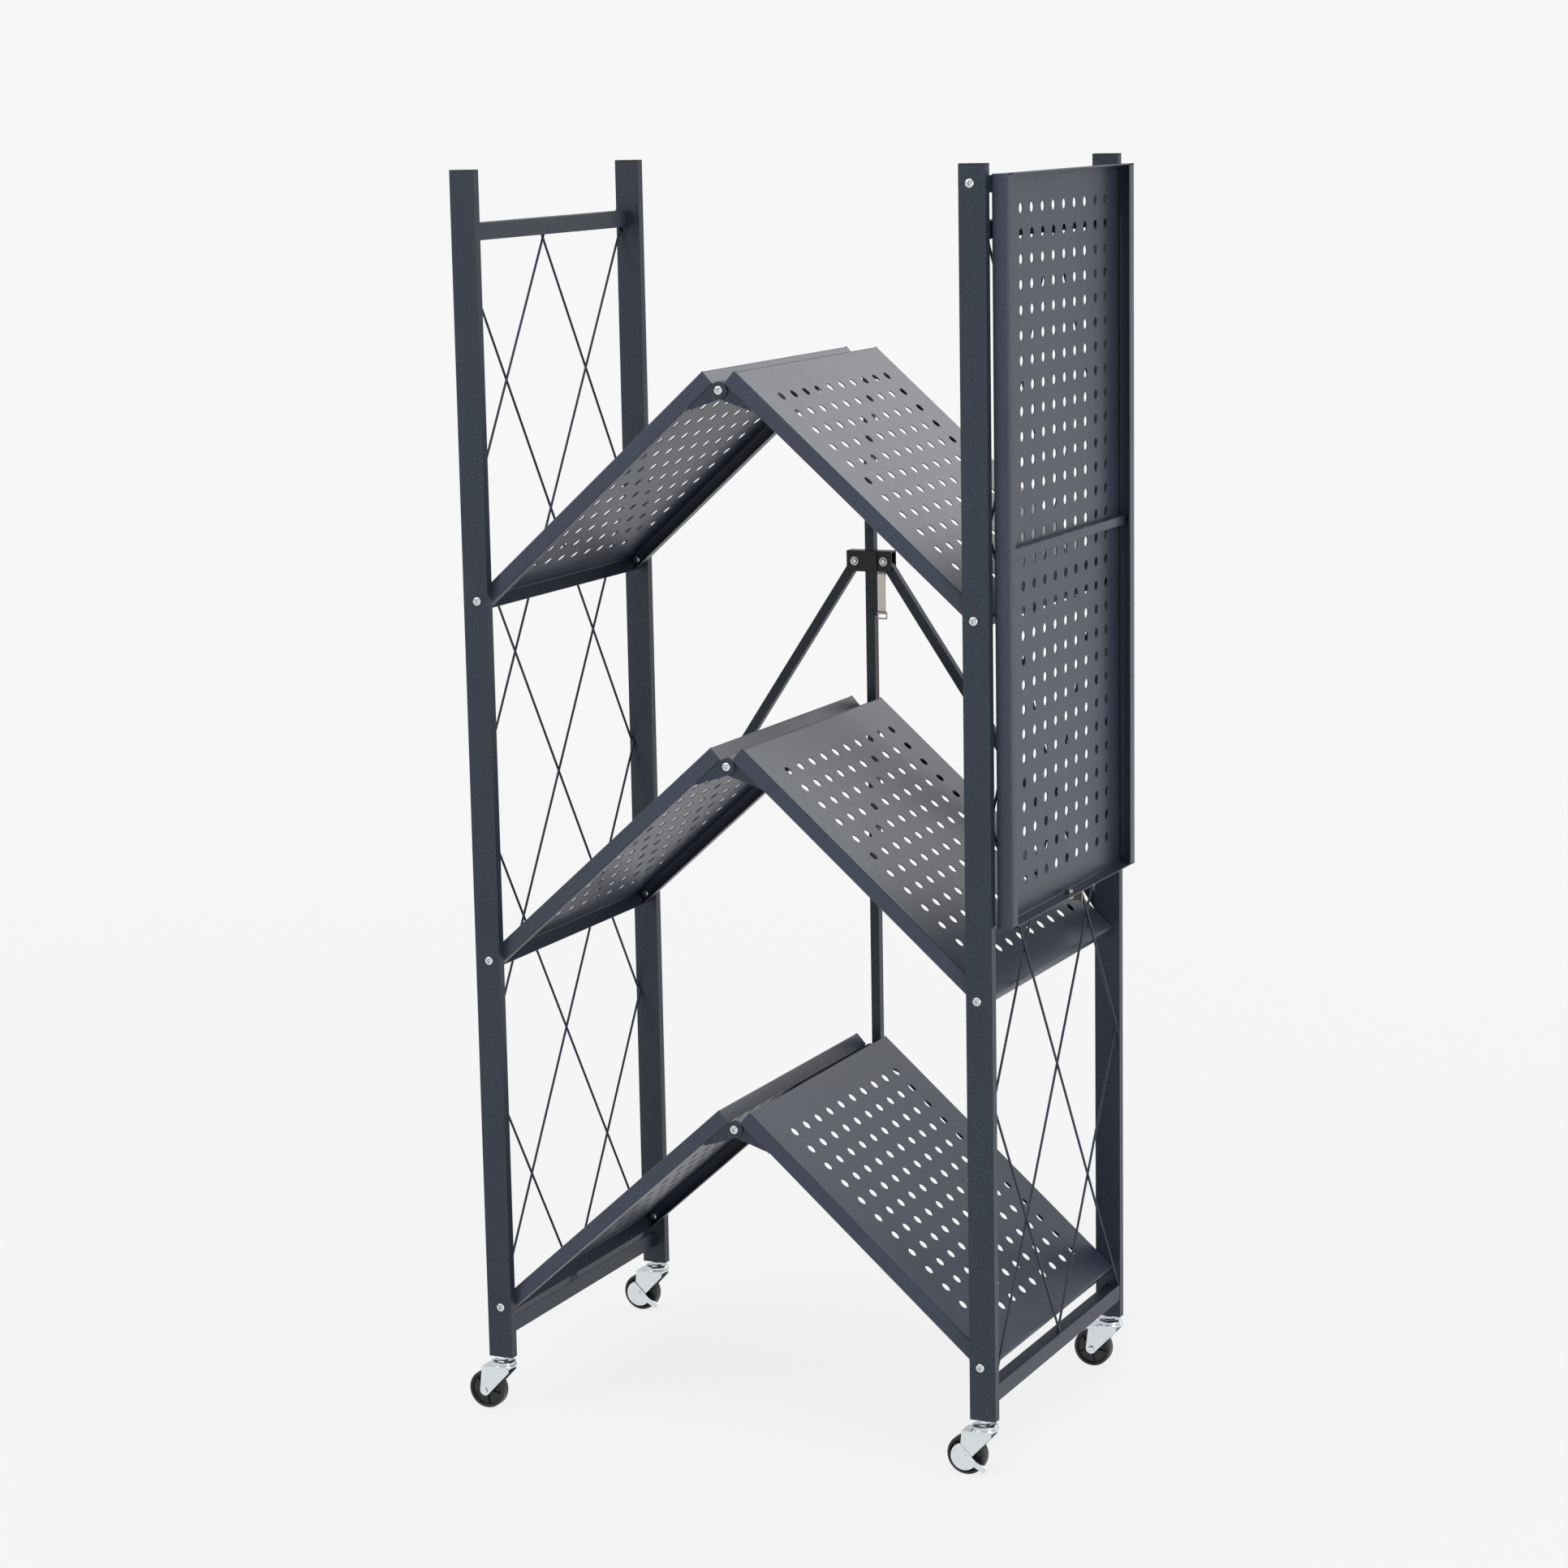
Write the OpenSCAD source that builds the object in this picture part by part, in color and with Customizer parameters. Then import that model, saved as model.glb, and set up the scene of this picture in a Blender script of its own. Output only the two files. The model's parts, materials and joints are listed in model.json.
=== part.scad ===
// Folding storage shelf on casters, half folded, with its top shelf hanging outside the right frame.
// Millimetres. X runs across the width, Y from front to back, Z up. The casters stand on z = 0.

/* [Side frames] */
// Width of a post, across the shelf
post_w = 27; // [24:0.5:34]
// Thickness of a post, front to back
post_t = 10; // [9:0.5:14]
// Wall of the post tube
post_wall = 1.2; // [0.8:0.1:2]
// Length of a post
post_h = 1210; // [1180:5:1300]
// Depth of a side frame, over its posts
frame_d = 370; // [320:5:420]
// Width of a crossbar, across the shelf
cross_w = 15; // [12:0.5:18]
// Height of a crossbar
cross_h = 17; // [12:0.5:22]
// Wall of a crossbar tube
cross_wall = 1.2; // [0.8:0.1:2]
// Height of the lower crossbar above the foot of the post
low_cross_rise = 19; // [12:0.5:22]
// How far a crossbar lies inside the outer face of the post
cross_inset = 0.3; // [0.1:0.1:2]
// Diameter of a lattice rod
rod_d = 2.5; // [2:0.1:3]
// Clearance between the lattice and the ends of the half shelves
rod_gap = 0.5; // [0.3:0.1:1]
// Number of crossings along the lattice
lattice_cells = 4; // [3:1:4]
// Height of the cap that shows above a post
cap_h = 2; // [1:0.5:4]
// Depth of the plug that a cap has inside the post
cap_plug = 12; // [8:1:20]

/* [Fold] */
// Distance from the post pivot to the middle pivot of a half shelf
link_len = 340; // [300:5:380]
// How far the middle pivots lie below the post pivots when the shelf is open
hinge_drop = 18; // [16:0.5:22]
// Slope of the line from the post pivot to the middle pivot, as stored here
fold_rest = 38.6; // [20:0.1:60]
// Distance from the post's outer face to its pivots
pivot_inset = 15.5; // [14:0.5:20]
// Height of the lowest pivot above the foot of the post
low_pivot = 54; // [52:1:80]
// Distance between one shelf and the next
tier_pitch = 367; // [330:1:380]

/* [Half shelves] */
// Thickness of the sheet
sheet_t = 1; // [0.8:0.1:1.4]
// Height of a half shelf over its flanges
tray_h = 15.5; // [14:0.5:17]
// Height of the sheet's top above the post pivot
tray_rise = 7; // [6:0.5:8]
// How far a half shelf runs past its post pivot
tray_over = 5.5; // [5.2:0.1:6]
// Side gap between a half shelf and the posts
side_gap = 0.5; // [0.3:0.1:1]
// Gap between a half shelf's end and the middle plane when open
mid_gap = 0.3; // [0.2:0.1:1]
// Width of the lip under the front and rear flanges
lip_w = 14; // [6:0.5:16]
// Diameter of the holes in the sheet
hole_d = 10; // [6:0.2:11]
// Distance between holes, front to back
hole_col = 29; // [24:0.5:30]
// Distance between holes, along a half shelf
hole_row = 24; // [20:0.5:26]
// Number of holes, front to back
hole_cols = 10; // [4:1:10]
// Number of rows of holes in a half shelf
hole_rows = 12; // [4:1:12]

/* [Hinge ears] */
// Thickness of an ear plate
ear_t = 2; // [1.5:0.1:2.5]
// Radius of the ear's round end
ear_r = 8.5; // [7:0.1:8.8]
// Length of an ear along the flange
ear_len = 38; // [30:1:45]
// How far an ear's tip reaches below the flange
ear_tip = 2.5; // [1:0.5:4]
// How far an ear overlaps the flange
ear_lap = 5; // [3:0.5:6]
// Gap between an ear and the end of the lip behind it
lip_gap = 4; // [2:0.5:8]
// Gap between the ears of the two half shelves
ear_gap = 0.2; // [0.1:0.1:0.5]

/* [Bolts] */
// Diameter of the pivot bolts
bolt_d = 5; // [4:0.5:5]
// Clearance of a bolt in its hole, on the radius
bolt_fit = 0.1; // [0.08:0.01:0.15]
// Diameter of a bolt head
head_d = 9; // [8:0.5:9.5]
// Height of a bolt head
head_h = 2.4; // [1.5:0.1:2.4]
// Width of a nut across its corners
nut_d = 8.6; // [8:0.2:8.8]
// Height of a nut
nut_h = 4; // [3:0.5:5]

/* [Link bar and braces] */
// Side of the square link bar
bar_w = 10; // [8:0.5:12]
// Wall of the link bar tube
bar_wall = 1.2; // [0.8:0.1:2]
// Gap between the rear posts and the link bar
bar_gap = 2.5; // [2.4:0.1:4]
// How far the link bar runs past the outermost middle pivots
bar_end = 12; // [10:1:20]
// Height of the slider above the middle shelf's post pivots, as stored here
slider_up = 372; // [350:1:374]
// Distance of the brace bolts from the middle of the slider
slider_x = 16.5; // [15.5:0.1:16.5]
// Width of the slider
slider_w = 51; // [44:0.5:52]
// Height of the slider
slider_h = 22; // [20:0.5:28]
// Thickness of the slider's plates
slider_t = 1.6; // [1:0.1:1.8]
// Sliding clearance round the link bar
slide_fit = 0.2; // [0.1:0.1:0.4]
// Width of a brace tube
brace_w = 10; // [8:0.5:10]
// Thickness of a brace tube
brace_t = 9; // [7:0.5:9]
// Width of the strip that carries the draw latch
latch_strip_w = 5; // [4:0.5:6]
// Length of the latch strip
latch_strip_l = 46; // [40:1:60]
// Width of the draw latch's lever
lever_w = 8; // [6:0.5:8]
// Length of the lever
lever_l = 44; // [36:1:50]
// Thickness of the lever
lever_t = 1.6; // [1.2:0.1:2]
// Diameter of the bail's wire
bail_wire = 1.6; // [1.2:0.1:2]
// Length of the bail
bail_l = 6.4; // [5:0.2:8]

/* [Top shelf] */
// Distance from the top of a post to the top shelf's pivots
top_pivot_drop = 16; // [14:1:20]
// How far the top shelf runs above its pivots as it hangs
top_over = 8; // [6:0.5:9]
// Gap between the hanging top shelf and the posts
hang_gap = 1.5; // [1:0.1:3]
// Depth of the top shelf over its flanges
top_h = 16; // [14:0.5:18]
// Gap between the open top shelf and the crossbars under it
rest_gap = 1.5; // [1.2:0.1:3]
// Distance between rows of holes along the top shelf
top_row = 23.8; // [20:0.2:24]
// Number of rows of holes in the top shelf
top_rows = 28; // [10:1:28]
// Width of the stiffener across the top shelf
stiff_w = 9; // [6:0.5:12]
// Height of the stiffener
stiff_h = 8; // [6:0.5:12]
// Height of a bracket's arm
arm_h = 18; // [16:0.5:20]
// Length of a bracket's foot down the flange
arm_foot = 42; // [36:1:60]
// Length of the hook latch
hook_l = 30; // [24:1:36]
// Width of the hook latch
hook_w = 11; // [9:0.5:13]

/* [Casters] */
// Height of a caster, from the floor to the foot of the post
caster_h = 57; // [54:0.5:70]
// Diameter of a wheel
wheel_d = 40; // [36:1:42]
// Width of a wheel
wheel_w = 15; // [12:0.5:16]
// How far the wheel trails behind the stem
trail = 18; // [16:0.5:22]
// Thickness of the fork's plate
fork_t = 1.5; // [1:0.1:2]
// Gap between the wheel and each fork leg
fork_gap = 0.8; // [0.5:0.1:1.5]
// Diameter of the swivel's ring
race_d = 28; // [26:0.5:30]
// Height of the swivel's two rings
race_h = 7.5; // [6:0.5:9]
// Depth of the groove between the two rings
race_groove = 1.8; // [1:0.1:3]
// Height of the nut between the swivel and the post
neck_h = 3.5; // [3:0.5:5]
// Diameter of the stem
stem_d = 5.2; // [4:0.1:5.2]
// Width of the stem's nut across its corners
stem_nut = 12; // [10:0.5:12.5]
// Length of the stem inside the post
stem_in = 20; // [14:1:30]
// How far the fork's crown reaches in front of the stem
crown_front = 10; // [8:0.5:12]
// How far the fork's crown reaches behind the axle
crown_back = 3; // [1:0.5:5]
// Height of the fork's shoulder in front
shoulder = 3; // [2:0.5:6]
// Width of the fork leg round the axle
leg_rim = 3; // [2:0.5:4]
// Diameter of the axle
axle_d = 5; // [4:0.5:6]
// Height of the axle's heads
axle_head = 1; // [0.6:0.1:1.4]
// Thickness of the tyre
tyre_t = 3; // [2:0.5:5]
// Wall of the wheel's hub
hub_wall = 2.5; // [2:0.5:4]
// How far the tyre's side lies behind the hub's face
rim_step = 1; // [0.6:0.1:1.5]
// Thickness of the brake plate
brake_t = 1.2; // [1:0.1:1.5]
// Diameter of the brake plate
brake_d = 28; // [24:0.5:30]
// How far the brake plate reaches past the axle on its straight side
brake_over = 6; // [4.5:0.5:8]
// Width of the brake's tab
tab_w = 6; // [4:0.5:8]
// Length of the brake's tab
brake_tab = 13; // [8:1:14]

/* [Hidden] */

// One overrun for every cut
cut = 1;
// Small gap between pieces that only just miss each other
seat_gap = 0.1;
// Where the fork leg's lower edge leaves the axle's rim, and how the brake plate and its tab are turned
leg_turn = 40;
brake_turn = 45;
tab_turn = 28;
powder = "#3a4149";
zinc = "#b9c3cc";
nickel = "#c9c5bd";
black = "#1c1d1f";

bolt_r = bolt_d / 2;
bore_r = bolt_r + bolt_fit;
drop_angle = asin(hinge_drop / link_len);
tray_angle = fold_rest + drop_angle;
pivot_x = link_len * cos(fold_rest);
flat_x = sqrt(pow(link_len, 2) - pow(hinge_drop, 2));
mid_rise = link_len * sin(fold_rest);
outer_x = pivot_x + pivot_inset;
post_x = outer_x - post_w / 2;
post_top = caster_h + post_h;
tier_z = [for (i = [0:2]) caster_h + low_pivot + i * tier_pitch];
tray_d = frame_d - 2 * post_t - 2 * side_gap;
tray_end = flat_x - mid_gap;
tray_y = tray_d / 2;
flange_low = tray_rise - tray_h;
post_y = frame_d / 2 - post_t / 2;
inner_y = frame_d / 2 - post_t;
skin_y = tray_y - sheet_t;
lip_back = ear_len + lip_gap;

// Crossbars, and the lattice between them
top_pivot_z = post_top - top_pivot_drop;
sheet_x = pivot_inset + hang_gap;
cross_top_z = top_pivot_z - sheet_x - top_h - rest_gap;
cross_low_z = caster_h + low_cross_rise;
cross_x = outer_x - cross_inset - cross_w / 2;
lattice_low = cross_low_z + cross_h;
lattice_high = cross_top_z - cross_h;
period = (lattice_high - lattice_low) / lattice_cells;
rod_lean = atan(inner_y / period);
rod_x = pivot_x + sqrt(pow(tray_over, 2) + pow(tray_rise, 2)) + rod_gap + rod_d / 2;

// Link bar, slider and braces
bar_y = frame_d / 2 + bar_gap + bar_w / 2;
slider_z = tier_z[1] + slider_up;
slider_in = bar_w / 2 + slide_fit;
brace_tilt = atan((pivot_x - slider_x) / slider_up);
brace_len = sqrt(pow(pivot_x - slider_x, 2) + pow(slider_up, 2));
latch_y = bar_y - slider_in - slider_t;
latch_x = slider_x - bolt_r - head_d / 2;
latch_pin_z = slider_z - slider_h / 2 - bail_wire;
lever_x = latch_x + bail_wire + 2 * seat_gap;

// Top shelf
top_len = 2 * (flat_x + pivot_inset);
top_x = pivot_x + sheet_x;
top_edge = top_pivot_z + top_over;

// Casters
wheel_r = wheel_d / 2;
swivel_z = caster_h - neck_h - race_h;
race_low = swivel_z - fork_t;
race_r = race_d / 2;
stem_r = stem_d / 2;
socket_r = stem_r + seat_gap / 2;
axle_r = axle_d / 2;
fork_y = wheel_w / 2 + fork_gap;
hub_r = axle_r + hub_wall;
leg_r = axle_r + leg_rim;
brake_r = brake_d / 2;

// The bounding box's middle is the origin in X and Y
box_left = -post_x - trail - wheel_r;
box_right = top_x + top_h;
box_front = -frame_d / 2 - head_h;
box_rear = bar_y + slider_in + slider_t + head_h;
shift_x = -(box_left + box_right) / 2;
shift_y = -(box_front + box_rear) / 2;

module centred() { translate([shift_x, shift_y, 0]) children(); }

// The left side as drawn, or its mirror image for the right side
module on_side(side) {
  if (side < 0) children();
  else mirror([1, 0, 0]) children();
}

// A cylinder along Y that starts at y0 and ends at y1
module rod_y(r, y0, y1, f = 32) {
  translate([0, max(y0, y1), 0]) rotate([90, 0, 0]) cylinder(r = r, h = abs(y1 - y0), $fn = f);
}

module box_from(low, high) { translate(low) cube(high - low); }

module tube_z(size, wall, h) {
  difference() {
    translate([-size[0] / 2, -size[1] / 2, 0]) cube([size[0], size[1], h]);
    translate([-size[0] / 2 + wall, -size[1] / 2 + wall, -cut])
      cube([size[0] - 2 * wall, size[1] - 2 * wall, h + 2 * cut]);
  }
}

// Post tube, drilled for the three shelf pivots, and on the right for the top shelf
module post(side, end) {
  color(powder) centred() difference() {
    translate([side * post_x, end * post_y, caster_h]) tube_z([post_w, post_t], post_wall, post_h);
    for (z = tier_z)
      translate([side * pivot_x, end * post_y, z]) rod_y(bore_r, -post_t, post_t);
    if (side > 0)
      translate([pivot_x, end * post_y, top_pivot_z]) rod_y(bore_r, -post_t, post_t);
  }
}

// Plastic caps on top of the posts, and the sockets for the caster stems in their feet
module post_plugs(side) {
  slack = seat_gap + post_wall;
  color(black) centred() for (end = [-1, 1]) translate([side * post_x, end * post_y, 0]) {
    translate([-post_w / 2, -post_t / 2, post_top]) cube([post_w, post_t, cap_h]);
    translate([-post_w / 2 + slack, -post_t / 2 + slack, post_top - cap_plug])
      cube([post_w - 2 * slack, post_t - 2 * slack, cap_plug]);
    difference() {
      translate([-post_w / 2 + slack, -post_t / 2 + slack, caster_h])
        cube([post_w - 2 * slack, post_t - 2 * slack, stem_in + cap_h]);
      translate([0, 0, caster_h - cut]) cylinder(r = socket_r, h = stem_in + cap_h + 2 * cut, $fn = 32);
    }
  }
}

// Crossbars of one side frame, welded between its posts
module crossbars(side) {
  color(powder) centred() for (z = [cross_low_z, cross_top_z - cross_h])
    translate([side * cross_x, -inner_y, z + cross_h / 2]) rotate([-90, 0, 0])
      tube_z([cross_w, cross_h], cross_wall, 2 * inner_y);
}

// One rod of the lattice: it crosses the frame at height z, halfway between the posts
module lattice_rod(lean, z) {
  reach = 2 * period;
  translate([0, 0, z]) rotate([lean * rod_lean, 0, 0])
    translate([0, 0, -reach]) cylinder(r = rod_d / 2, h = 2 * reach, $fn = 16);
}

// Two layers of rods, one for each lean
module lattice(side) {
  color(powder) centred() for (lean = [-1, 1]) for (i = [0:lattice_cells])
    intersection() {
      translate([side * (rod_x + (lean + 1) / 2 * (rod_d + seat_gap)), 0, 0])
        lattice_rod(lean, lattice_low + i * period);
      box_from([-outer_x, -inner_y, lattice_low], [outer_x, inner_y, lattice_high]);
    }
}

// Half shelf in its own frame: the post pivot is at zero and the middle pivot lies at +X
module tray_shape() {
  margin_x = (tray_end + tray_over - (hole_rows - 1) * hole_row) / 2;
  difference() {
    union() {
      box_from([-tray_over, -tray_y, tray_rise - sheet_t], [tray_end, tray_y, tray_rise]);
      for (x = [-tray_over, tray_end - sheet_t])
        box_from([x, -tray_y, flange_low], [x + sheet_t, tray_y, tray_rise]);
      for (s = [-1, 1]) {
        translate([0, s * (tray_y - sheet_t / 2), 0])
          box_from([-tray_over, -sheet_t / 2, flange_low], [tray_end, sheet_t / 2, tray_rise]);
        translate([0, s * (tray_y - lip_w / 2), 0])
          box_from([-tray_over, -lip_w / 2, flange_low],
            [tray_end - lip_back, lip_w / 2, flange_low + sheet_t]);
      }
    }
    for (i = [0:hole_rows - 1]) for (j = [0:hole_cols - 1])
      translate([-tray_over + margin_x + i * hole_row, (j - (hole_cols - 1) / 2) * hole_col,
        tray_rise - sheet_t - cut]) cylinder(r = hole_d / 2, h = sheet_t + 2 * cut, $fn = 24);
    rod_y(bore_r, -frame_d / 2, frame_d / 2);
  }
}

// Places a shape of the left half shelf's own frame at its tier
module at_tier(side, tier) {
  centred() on_side(side) translate([-pivot_x, 0, tier_z[tier]]) rotate([0, -tray_angle, 0]) children();
}

module tray(side, tier) { color(powder) at_tier(side, tier) tray_shape(); }

// Outline of an ear plate, with the middle pivot at zero and the flange above it to the left
module ear_outline() {
  end_x = mid_gap + sheet_t;
  bottom = hinge_drop + flange_low;
  slope = atan((bottom + ear_r - ear_tip) / ear_len);
  difference() {
    union() {
      circle(r = ear_r, $fn = 48);
      polygon([[-ear_len, bottom + ear_lap], [-ear_len, bottom - ear_tip],
        [-ear_r * sin(slope), -ear_r * cos(slope)], [0, 0], [0, ear_r],
        [-end_x, ear_r], [-end_x, bottom + ear_lap]]);
    }
    circle(r = bore_r, $fn = 32);
  }
}

// Ear plates of one half shelf: the left ones lie on the flange, the right ones a layer further in
module ears(side, tier) {
  bottom = hinge_drop + flange_low;
  near = side < 0 ? 0 : ear_t + ear_gap;
  color(powder) at_tier(side, tier) translate([flat_x, 0, -hinge_drop]) for (s = [-1, 1]) {
    translate([0, s * (skin_y - near - ear_t / 2) + ear_t / 2, 0]) rotate([90, 0, 0])
      linear_extrude(ear_t) ear_outline();
    if (side > 0) translate([0, s * (skin_y - near / 2), 0])
      box_from([-ear_len, -near / 2, bottom], [-mid_gap - sheet_t, near / 2, bottom + ear_lap]);
  }
}

// Bolt along Y whose head's seat is at y = 0 and whose shank runs towards +Y
module bolt(length, nut_at) {
  rod_y(head_d / 2, -head_h, 0);
  rod_y(bolt_r, -head_h / 2, length);
  translate([0, nut_at, 0]) difference() {
    rod_y(nut_d / 2, 0, nut_h, 6);
    rod_y(bore_r, -cut, nut_h + cut);
  }
}

// Pivot bolts through the posts of one side, front and rear
module post_bolts(side) {
  seat = frame_d / 2 - skin_y + seat_gap;
  color(zinc) centred() for (z = tier_z) for (s = [-1, 1])
    translate([side * pivot_x, 0, z]) scale_y(s) translate([0, -frame_d / 2, 0])
      bolt(seat + nut_h + sheet_t, seat);
}

// Turns a front fitting into a rear one
module scale_y(s) {
  if (s < 0) children();
  else mirror([0, 1, 0]) children();
}

// Middle pivot bolts of one tier: a short one in front, and one through the link bar behind
module middle_bolts(tier) {
  grip = 2 * ear_t + ear_gap + seat_gap;
  stand = bar_y - bar_w / 2 - skin_y;
  color(zinc) centred() translate([0, 0, tier_z[tier] + mid_rise]) {
    translate([0, -skin_y - seat_gap, 0]) bolt(grip + seat_gap + nut_h + sheet_t, grip + seat_gap);
    mirror([0, 1, 0]) translate([0, -bar_y - bar_w / 2, 0])
      bolt(bar_w + stand + grip + nut_h + sheet_t, bar_w + stand + grip);
    difference() {
      rod_y(nut_d / 2, skin_y + seat_gap, skin_y + stand);
      rod_y(bore_r, skin_y, bar_y);
    }
  }
}

// Square bar that ties the three middle pivots together
module link_bar() {
  low = tier_z[0] + mid_rise;
  color(powder) centred() difference() {
    translate([0, bar_y, low - bar_end])
      tube_z([bar_w, bar_w], bar_wall, 2 * tier_pitch + 2 * bar_end);
    for (z = tier_z) translate([0, 0, z + mid_rise]) rod_y(bore_r, skin_y, bar_y + bar_w);
  }
}

// Bracket that slides on the link bar and carries both braces
module slider_bracket() {
  color(black) centred() translate([0, bar_y, slider_z]) difference() {
    union() {
      for (s = [-1, 1]) translate([-slider_w / 2, s * (slider_in + slider_t / 2) - slider_t / 2, -slider_h / 2])
        cube([slider_w, slider_t, slider_h]);
      translate([-slider_w / 2, -slider_in - slider_t, slider_h / 2 - slider_t])
        cube([slider_w, 2 * (slider_in + slider_t), slider_t]);
    }
    translate([-slider_in, -slider_in, 0]) cube([2 * slider_in, 2 * slider_in, slider_h]);
    for (x = [-slider_x, slider_x]) translate([x, 0, 0]) rod_y(bore_r, -bar_w, bar_w);
  }
}

// Bolts on which the braces turn
module slider_bolts() {
  color(zinc) centred() for (x = [-slider_x, slider_x]) translate([x, bar_y, slider_z]) {
    rod_y(head_d / 2, -slider_in - slider_t - head_h, -slider_in - slider_t);
    rod_y(bolt_r, -slider_in - slider_t - head_h / 2, slider_in + slider_t + head_h / 2);
    rod_y(head_d / 2, slider_in + slider_t, slider_in + slider_t + head_h);
  }
}

// Brace tube from the slider down to the rear post, with the stud of its lower pivot
module brace(side) {
  color(powder) centred() on_side(side) translate([-slider_x, bar_y, slider_z]) rotate([0, brace_tilt, 0]) {
    difference() {
      union() {
        box_from([-brace_w / 2, -brace_t / 2, -brace_len], [brace_w / 2, brace_t / 2, 0]);
        rod_y(brace_w / 2, -brace_t / 2, brace_t / 2);
        translate([0, 0, -brace_len]) rod_y(brace_w / 2, -brace_t / 2, brace_t / 2);
      }
      rod_y(bore_r, -brace_t, brace_t);
      translate([0, 0, -brace_len]) rod_y(bore_r, -brace_t, brace_t);
    }
    translate([0, 0, -brace_len]) {
      rod_y(bolt_r, -brace_t / 2, brace_t / 2 + head_h / 2);
      rod_y(head_d / 2, brace_t / 2, brace_t / 2 + head_h);
    }
  }
}

// Strip below the slider that carries the draw latch
module latch_strip() {
  color(black) centred() translate([latch_x - latch_strip_w, latch_y, slider_z + slider_h / 2 - slider_t]) {
    box_from([0, -slider_t, -slider_h - latch_strip_l + slider_t], [latch_strip_w, 0, slider_t]);
    translate([latch_strip_w, -slider_t / 2, latch_pin_z - slider_z - slider_h / 2 + slider_t])
      rotate([0, 90, 0]) cylinder(r = slider_t / 2, h = lever_x - latch_x + lever_w, $fn = 24);
  }
}

// Lever of the draw latch, hanging from its pin
module latch_lever() {
  color(nickel) centred() translate([lever_x, latch_y - slider_t / 2, latch_pin_z])
    difference() {
      union() {
        rotate([0, 90, 0]) cylinder(r = slider_t / 2 + lever_t / 2, h = lever_w, $fn = 32);
        box_from([0, -slider_t / 2 - lever_t / 2, 2 * bail_wire - lever_l],
          [lever_w, -slider_t / 2 + lever_t / 2, 0]);
        translate([0, -slider_t / 2, 2 * bail_wire - lever_l]) rotate([0, 90, 0])
          cylinder(r = bail_wire / 2 + bolt_fit + lever_t / 2, h = lever_w, $fn = 32);
      }
      translate([-cut, 0, 0]) rotate([0, 90, 0])
        cylinder(r = slider_t / 2 + bolt_fit, h = lever_w + 2 * cut, $fn = 32);
      translate([-cut, -slider_t / 2, -lever_l + 2 * bail_wire]) rotate([0, 90, 0])
        cylinder(r = bail_wire / 2 + bolt_fit, h = lever_w + 2 * cut, $fn = 24);
    }
}

// Wire bail of the draw latch, on the lower end of the lever
module latch_bail() {
  reach = lever_w / 2 + bail_wire / 2 + seat_gap;
  color(nickel) centred()
    translate([lever_x + lever_w / 2, latch_y - slider_t, latch_pin_z - lever_l + 2 * bail_wire]) {
      translate([-reach, 0, 0]) rotate([0, 90, 0]) cylinder(r = bail_wire / 2, h = 2 * reach, $fn = 24);
      for (x = [-reach, reach]) {
        translate([x, 0, -bail_l]) cylinder(r = bail_wire / 2, h = bail_l, $fn = 24);
        for (z = [0, -bail_l]) translate([x, 0, z]) sphere(r = bail_wire / 2, $fn = 24);
      }
      translate([-reach, 0, -bail_l]) rotate([0, 90, 0]) cylinder(r = bail_wire / 2, h = 2 * reach, $fn = 24);
    }
}

// Top shelf as it hangs: its top side faces the frame and its flanges point outwards
module top_shelf() {
  low = top_edge - top_len;
  margin = (top_len - (top_rows - 1) * top_row) / 2;
  color(powder) centred() difference() {
    union() {
      box_from([top_x, -tray_y, low], [top_x + sheet_t, tray_y, top_edge]);
      for (z = [low, top_edge - sheet_t])
        box_from([top_x, -tray_y, z], [top_x + top_h, tray_y, z + sheet_t]);
      for (s = [-1, 1]) {
        translate([0, s * (tray_y - sheet_t / 2), 0])
          box_from([top_x, -sheet_t / 2, low], [top_x + top_h, sheet_t / 2, top_edge]);
        translate([0, s * (tray_y - lip_w / 2), 0])
          box_from([top_x + top_h - sheet_t, -lip_w / 2, low], [top_x + top_h, lip_w / 2, top_edge]);
      }
    }
    for (i = [0:top_rows - 1]) for (j = [0:hole_cols - 1])
      translate([top_x - cut, (j - (hole_cols - 1) / 2) * hole_col, low + margin + i * top_row])
        rotate([0, 90, 0]) cylinder(r = hole_d / 2, h = sheet_t + 2 * cut, $fn = 24);
    for (s = [-1, 1]) box_from([top_x - cut, s * skin_y - ear_t, top_pivot_z - arm_h],
      [top_x + sheet_t + cut, s * skin_y + ear_t, top_edge + cut]);
    translate([top_x + top_h / 2, 0, low - cut]) cylinder(r = bore_r, h = 2 * cut + sheet_t, $fn = 32);
  }
}

// Stiffener across the middle of the top shelf
module top_stiffener() {
  mid = top_edge - top_len / 2;
  color(powder) centred() difference() {
    box_from([top_x + sheet_t, -skin_y, mid - stiff_w / 2], [top_x + sheet_t + stiff_h, skin_y, mid + stiff_w / 2]);
    box_from([top_x, -skin_y - cut, mid - stiff_w / 2 + sheet_t],
      [top_x + stiff_h, skin_y + cut, mid + stiff_w / 2 - sheet_t]);
  }
}

// Angled brackets that carry the top shelf on the posts
module top_brackets() {
  foot_w = top_h - 2 * sheet_t - seat_gap;
  color(powder) centred() for (s = [-1, 1]) translate([pivot_x, s * (skin_y - ear_t / 2), top_pivot_z])
    difference() {
      union() {
        rod_y(arm_h / 2, -ear_t / 2, ear_t / 2, 48);
        box_from([0, -ear_t / 2, -arm_h / 2],
          [sheet_x + sheet_t + foot_w, ear_t / 2, top_over - sheet_t - seat_gap]);
        box_from([sheet_x + sheet_t + seat_gap, -ear_t / 2, -arm_foot],
          [sheet_x + sheet_t + foot_w, ear_t / 2, 0]);
      }
      rod_y(bore_r, -ear_t, ear_t);
    }
}

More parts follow.
